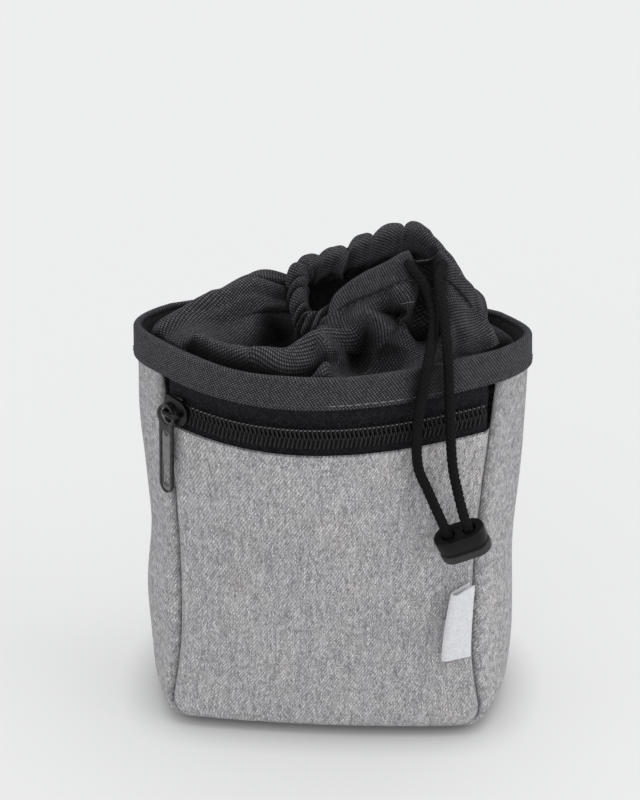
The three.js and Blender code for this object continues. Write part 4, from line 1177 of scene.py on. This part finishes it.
# The gathers: how strong they are at each place, and how far the hem puffs out between two creases.
gather_middle = (GATHERS["from"] + GATHERS["to"]) / 2
gather_half = (GATHERS["to"] - GATHERS["from"]) / 2
from_middle = np.abs(turn_between(degrees, gather_middle))
gathered = 1 - smooth_step(from_middle, gather_half - GATHERS["fade"], gather_half + GATHERS["fade"])
crease_at, crease_deep = np.array(GATHER_CREASES).T
turned = degrees % 360
crease = np.clip(np.searchsorted(crease_at, turned, side="right") - 1, 0, len(crease_at) - 2)
between = np.clip((turned - crease_at[crease]) / (crease_at[crease + 1] - crease_at[crease]), 0, 1)
puff = np.sqrt(np.sin(np.pi * between))
gathered = gathered * np.interp(turned, crease_at, crease_deep)
full_gather = np.minimum(gathered, 1)
into_hem = smooth_step(level, **GATHER_RISE)
collar_out = gathered * into_hem * (GATHERS["puff"] * puff - 1)

# The folds, the wrinkles and the groove of the hem's seam, all as distances off the middle layer.
folds = np.stack([fold["out"] * fold_strength(fold, degrees, level) for fold in COLLAR_FOLDS])
collar_out = collar_out + np.maximum(folds.max(axis=0), 0) + np.minimum(folds.min(axis=0), 0)
collar_out = collar_out * smooth_step(level, **FOLD_RISE)
wrinkle_place = [degrees / WRINKLES["degrees"], level * WRINKLES["up"], np.zeros_like(level)]
wrinkles = WRINKLES["height"] * ripple(np.stack(wrinkle_place, axis=-1), 1, WRINKLES["seed"])
collar_out = collar_out + wrinkles * smooth_step(level, RIM_AT, WRINKLES["full"])
groove = HEM_GROOVE["depth"] * np.exp(-(((level - HEM_AT) / HEM_GROOVE["width"]) ** 2))
collar_out = collar_out - groove * (HEM_GROOVE["least"] + (1 - HEM_GROOVE["least"]) * full_gather)
hem_across = np.clip(2 * (level - HEM_AT) / (1 - HEM_AT) - 1, -1, 1)
hem_round = np.sqrt(np.maximum(0, 1 - hem_across**4))
collar_half = (HEM["flat"] + (HEM["puff"] - HEM["flat"]) * full_gather * puff) * hem_round
collar_half = np.maximum(np.where(hem_across < 0, CLOTH / 2, HEM["edge"]), collar_half)
collar_mid[..., 2] += GATHERS["crown"] * gathered * (puff - GATHERS["level"]) * smooth_step(level, HEM_AT, 1)
collar_outer = collar_mid + collar_normals * (collar_out + collar_half)[..., None]
collar_inner = collar_mid + collar_normals * (collar_out - collar_half)[..., None]
collar_eased = collar_mid + collar_normals * (EASE * collar_out + collar_half)[..., None]


def even_lay(grid):
    """A lay that keeps the weave's pitch even over a closed cloth, cut open at its first column."""
    ring = np.concatenate([grid, grid[:, :1]], axis=1)
    rows, columns = ring.shape[:2]
    bend = [2 - 2 * np.cos(2 * np.pi * np.fft.fftfreq(2 * count)) for count in (rows, columns)]

    def fitted(axis):
        """Values that step like the cloth along one axis, and stay near even along the other."""
        steps = np.linalg.norm(np.diff(ring, axis=axis), axis=-1)
        none = np.zeros_like(np.take(steps, [0], axis))
        pull = -np.diff(np.concatenate([none, steps, none], axis=axis), axis=axis)
        pull = np.concatenate([pull, pull[::-1]])
        pull = np.concatenate([pull, pull[:, ::-1]], axis=1)
        shares = (1, CROSSWISE) if axis == 0 else (CROSSWISE, 1)
        weight = np.add.outer(bend[0] * shares[0], bend[1] * shares[1])
        weight[0, 0] = 1
        return np.real(np.fft.ifft2(np.fft.fft2(pull) / weight))[:rows, :columns]

    return np.stack([fitted(1), fitted(0)], axis=-1) * MM


def nearest(values, value):
    return int(np.argmin(np.abs(values - value)))


def loose_end(end):
    """A cut end of thread that stands off the cloth in a slight curve."""
    column = nearest(turn_between(collar_turn, end["at"]), 0)
    root = collar_outer[nearest(collar_levels, end["level"]), column]
    share = np.linspace(0, 1, LOOSE_END["points"])[:, None]
    return root + share * np.array(end["way"]) + np.sin(np.pi * share) * np.array(LOOSE_END["curl"])


collar_cut = -nearest(turn_between(collar_turn, COLLAR_CUT), 0)
cut_outer, cut_inner, cut_eased = (
    np.roll(grid, collar_cut, axis=1) for grid in (collar_outer, collar_inner, collar_eased)
)
collar_cloth = charcoal_cloth_material("charcoal_cloth", 12)
collar = cloth_piece("drawstring_collar_cloth", cut_outer, cut_inner, collar_cloth, True, even_lay(cut_eased))
on_bag(collar, "drawstring_collar")
hem_row = nearest(collar_levels, HEM_AT)
hem_rows = stitch_row(collar_outer[hem_row], collar_normals[hem_row])
on_bag(add_tubes("hem_stitches", hem_rows, STITCH["thick"], dark_thread))
loose_paths = [loose_end(end) for end in LOOSE_ENDS]
on_bag(add_tubes("loose_thread_ends", loose_paths, LOOSE_END["thick"], pale_thread))

# The drawcord: one round braided black cord, through the hem and out of its two eyelets at the front right.
# Its two strands hang down the front into the cord end.
CORD_RADIUS = 1.7
CORD_GRID = {"sides": 32, "rings": 260, "step": 40, "hem_points": 60}
CORD_LEVEL = 0.89
EYELET_WAY = (0.5, -4.5, 1.0)
HEM_CLEAR = 7  # degrees between an eyelet and the end of the cord's stretch in the hem
STRANDS = {
    # each strand's side of the cord end, its eyelet in degrees round the bag, and its way down the front
    "left": {"side": -1, "eyelet": -54, "way": [
        (31, -18, 154.5), (33.4, -23, 146.5), (32, -34.5, 135.5), (29.9, -36.4, 122), (29.1, -36.6, 110),
        (29.9, -36.8, 101), (32.7, -37.5, 94.5),
    ]},
    "right": {"side": 1, "eyelet": -38, "way": [
        (34.5, -16, 158.5), (36.8, -26, 148.5), (38.2, -32, 138), (38.9, -32.5, 127), (39.5, -32.5, 114),
        (40.6, -34, 101), (42.3, -36, 93.5),
    ]},
}
CORD_END = {"at": (45, -38.5, 75.5), "length": 17, "width": 9.5, "shell": 6, "lid": 2.8}
CORD_END_TILT = (16, -20, 8)
CORD_HOLES = {"spacing": 7, "lead": 3, "reach": 3.5, "room": 0.45}
BRAID = {"strands": 8, "pitch": 7.5, "height": 0.24}
CORD_FIBRES = [(0.3, 0.003, 0.003, 0.0035), (0.6, 0.006, 0.006, 0.0065), (0.85, 0.02, 0.02, 0.022)]


def cord_end_axes():
    """The cord end's place and tilt, in millimetres."""
    tilt = Matrix.Identity(3)
    for degrees_round, axis in zip(CORD_END_TILT, "XYZ"):
        tilt = tilt @ Matrix.Rotation(math.radians(degrees_round), 3, axis)
    return Matrix.Translation(CORD_END["at"]) @ tilt.to_4x4()


def smooth_path(points, count):
    """A smooth path through points, with centripetal spacing as the solid's own path has, and its length."""
    points = np.asarray(points, float)
    padded = np.concatenate([[2 * points[0] - points[1]], points, [2 * points[-1] - points[-2]]])
    knots = np.concatenate([[0], np.cumsum(np.linalg.norm(np.diff(padded, axis=0), axis=1) ** 0.5)])
    dense = []
    for i in range(1, len(padded) - 2):
        knot, rows = knots[i - 1:i + 3], padded[i - 1:i + 3]
        t = np.linspace(knot[1], knot[2], CORD_GRID["step"], endpoint=i == len(padded) - 3)[:, None]
        for spans in (((0, 1), (1, 2), (2, 3)), ((0, 2), (1, 3)), ((1, 2),)):
            rows = [
                ((knot[end] - t) * one + (t - knot[start]) * other) / (knot[end] - knot[start])
                for (start, end), one, other in zip(spans, rows, rows[1:])
            ]
        dense.append(rows[0])
    dense = np.concatenate(dense)
    far = far_along(dense)
    return at_spots(np.linspace(0, far[-1], count), far, dense), far[-1]


def braided(piece, length, sides, rings):
    """Raises the crossing strands of the braid on a tube of rings round a path."""
    points = np.empty(len(piece.data.vertices) * 3)
    piece.data.vertices.foreach_get("co", points)
    points = points.reshape(rings, sides, 3)
    round_way = np.linspace(0, 2 * np.pi, sides, endpoint=False)[None, :]
    along = np.linspace(0, length, rings)[:, None] / BRAID["pitch"] * 2 * np.pi
    half = BRAID["strands"] / 2
    crossing = np.maximum(np.cos(half * (round_way + along)), np.cos(half * (round_way - along)))
    spoke = points - points.mean(axis=1, keepdims=True)
    height = BRAID["height"] * (crossing - 0.5) * MM
    points = points + spoke / np.linalg.norm(spoke, axis=-1, keepdims=True) * height[..., None]
    piece.data.vertices.foreach_set("co", points.ravel())
    piece.data.update()


def cord_material():
    material, tree, shader = new_material("drawcord")
    place = add_node(tree, "TexCoord", {}).outputs["Object"]
    fibre = grain_node(tree, scale=2600.0, detail=3.0, place=place)
    set_sockets(tree, shader, {
        "Base Color": ramp_node(tree, fibre, CORD_FIBRES),
        "Normal": bump_node(tree, fibre, strength=0.5, distance=0.1),
        "Roughness": 0.7, "Specular IOR Level": 0.09,
    })
    return material


def add_cord(node, points):
    """A braided cord along a path through points, its path and its length."""
    sides, rings = CORD_GRID["sides"], CORD_GRID["rings"]
    path, length = smooth_path(points, rings)
    tube_points, quads, _ = tube_mesh([path], CORD_RADIUS - BRAID["height"] / 2, sides)
    piece = add_mesh(node + "_braid", tube_points, quads, drawcord)
    braided(piece, length, sides, rings)
    return on_bag(piece, node), path, length


def hem_middle(at):
    """The cord's own line inside the hem, at angles round the bag."""
    row = nearest(collar_levels, CORD_LEVEL)
    line = (collar_outer[row] + collar_inner[row]) / 2
    order = np.argsort(collar_turn % 360)
    places = (collar_turn % 360)[order]
    columns = [np.interp(np.asarray(at) % 360, places, line[order, k], period=360) for k in range(3)]
    return np.stack(columns, axis=-1)


drawcord = cord_material()
for name, strand in STRANDS.items():
    eyelet = hem_middle(strand["eyelet"])
    mouth = eyelet + EYELET_WAY
    hole_x = strand["side"] * CORD_HOLES["spacing"] / 2
    inside = [
        cord_end_axes() @ Vector((hole_x, 0, CORD_END["shell"] + rise))
        for rise in (CORD_HOLES["lead"], -CORD_HOLES["reach"])
    ]
    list(add_cord("drawcord_" + name, [eyelet, mouth, *strand["way"], *inside]))
hem_from = STRANDS["right"]["eyelet"] + HEM_CLEAR
hem_to = STRANDS["left"]["eyelet"] + 360 - HEM_CLEAR
add_cord("drawcord_in_hem", hem_middle(np.linspace(hem_from, hem_to, CORD_GRID["hem_points"])))

# The cord end: an oval two-part fitting in black moulded plastic. Both strands are knotted inside its shell,
# and its lid is snapped on underneath.
SHELL_EDGE = {"low": 1.6, "bevel": 0.55}
SHELL_SKIRT = {"inset": 1.2, "high": 2.2, "bevel": 0.25}
LID_BEVEL = 0.6


def oval_loop(inset=0):
    """The cord end's outline, or one inside it."""
    radius = (CORD_END["width"] - inset) / 2
    straight = (CORD_END["length"] - inset) / 2 - radius
    return np.concatenate([arc(straight, 0, radius, -90, 90, 16), arc(-straight, 0, radius, 90, 270, 16)])


def plastic_material(name, low, high):
    """Moulded plastic between two greys, with a fine grain."""
    material, tree, shader = new_material(name)
    place = add_node(tree, "TexCoord", {}).outputs["Object"]
    grain = grain_node(tree, scale=1400.0, detail=3.0, place=place)
    set_sockets(tree, shader, {
        "Base Color": ramp_node(tree, grain, [(0.3, low, low, low), (0.8, high, high, high)]),
        "Normal": bump_node(tree, grain, strength=0.12, distance=0.05),
        "Roughness": spread(tree, grain, 0.24, 0.4), "Specular IOR Level": 0.15,
    })
    return material


def end_plate(name, loops, low, high, bevel, material):
    """One layer of the cord end, between two heights of its own axis."""
    layer = plate_object(name, loops, high - low, bevel, material)
    layer.data.transform(Matrix.Translation(Vector((0, 0, (low + high) / 2)) * MM))
    return layer


def placed_end(node, pieces):
    """One part of the cord end, from its layers, in its place on the strands."""
    whole = joined(node + "_plastic", pieces)
    axes = cord_end_axes()
    axes.translation *= MM
    whole.data.transform(axes)
    return on_bag(whole, node)


black_plastic = plastic_material("black_plastic", 0.003, 0.007)
lid_plastic = plastic_material("lid_plastic", 0.028, 0.045)
hole_radius = CORD_RADIUS + CORD_HOLES["room"]
cord_holes = [arc(side * CORD_HOLES["spacing"] / 2, 0, hole_radius, 0, 360, 25)[:-1] for side in (-1, 1)]
shell_loops = [oval_loop(), *cord_holes]
skirt_loops = [oval_loop(SHELL_SKIRT["inset"])]
shell_top = end_plate(
    "shell_top", shell_loops, SHELL_EDGE["low"], CORD_END["shell"], SHELL_EDGE["bevel"], black_plastic
)
shell_skirt = end_plate(
    "shell_skirt", skirt_loops, 0, SHELL_SKIRT["high"], SHELL_SKIRT["bevel"], black_plastic
)
end_shell = placed_end("cord_end_shell", [shell_top, shell_skirt])
lid_rim = end_plate("lid_rim", [oval_loop()], -CORD_END["lid"] - GAP, -GAP, LID_BEVEL, lid_plastic)
end_lid = placed_end("cord_end_lid", [lid_rim])

# The label: a short white woven ribbon, folded in half and caught in the right front seam, with its fold
# standing off the panel. It is left bare.
LABEL = {"bottom": 32, "height": 25, "width": 10, "ply": 0.6, "fold": 1.6, "inset": 1.4}
LABEL_LEAN = {"bottom": 26, "top": 52}
LABEL_GRID = {"leg": 14, "bend": 11, "bend_from": 12, "rows": 40}
RIBBON_WEAVE = {"pitch": (0.3, 0.3), "repeat": 2.0, "stretch": 4.0}
RIBBON_YARNS = [(0.0, 0.55, 0.55, 0.57), (1.0, 0.71, 0.71, 0.73)]


def label_grid(ply):
    """The ribbon's outer or inner face: each row runs out from the seam, round the fold and back."""
    outer = LABEL["fold"] / 2 + LABEL["ply"]
    flat = LABEL["width"] - outer
    radius = outer - ply
    leg = np.linspace(0, flat, LABEL_GRID["leg"])
    bend = np.radians(np.linspace(LABEL_GRID["bend_from"], 180 - LABEL_GRID["bend_from"], LABEL_GRID["bend"]))
    reach = np.concatenate([leg, flat + radius * np.sin(bend), leg[::-1]])
    leg_side = np.full(len(leg), radius)
    side = np.concatenate([-leg_side, -radius * np.cos(bend), leg_side]) - outer
    rows = []
    for share in np.linspace(0, 1, LABEL_GRID["rows"]):
        z = LABEL["bottom"] + LABEL["height"] * share
        lean = math.radians(LABEL_LEAN["bottom"] + (LABEL_LEAN["top"] - LABEL_LEAN["bottom"]) * share)
        seam = float(body_at("seam", z)) - LABEL["inset"]
        root = np.array([seam, float(front_y(seam, z)) - GAP, z])
        away = np.array([-math.cos(lean), -math.sin(lean), 0])
        across = np.array([-math.sin(lean), math.cos(lean), 0])
        rows.append(root + reach[:, None] * away + side[:, None] * across)
    return np.stack(rows)


def ribbon_material():
    material, tree, shader = new_material("label_ribbon")
    woven = weave_node(tree, **RIBBON_WEAVE)
    set_sockets(tree, shader, {
        "Base Color": ramp_node(tree, woven["Tone"], RIBBON_YARNS),
        "Normal": bump_node(tree, woven["Height"], strength=0.4, distance=0.1),
        "Roughness": 0.6, "Sheen Weight": 0.1,
    })
    return material


label = cloth_piece("side_label_ribbon", label_grid(0), label_grid(LABEL["ply"]), ribbon_material())
on_bag(label, "side_label")
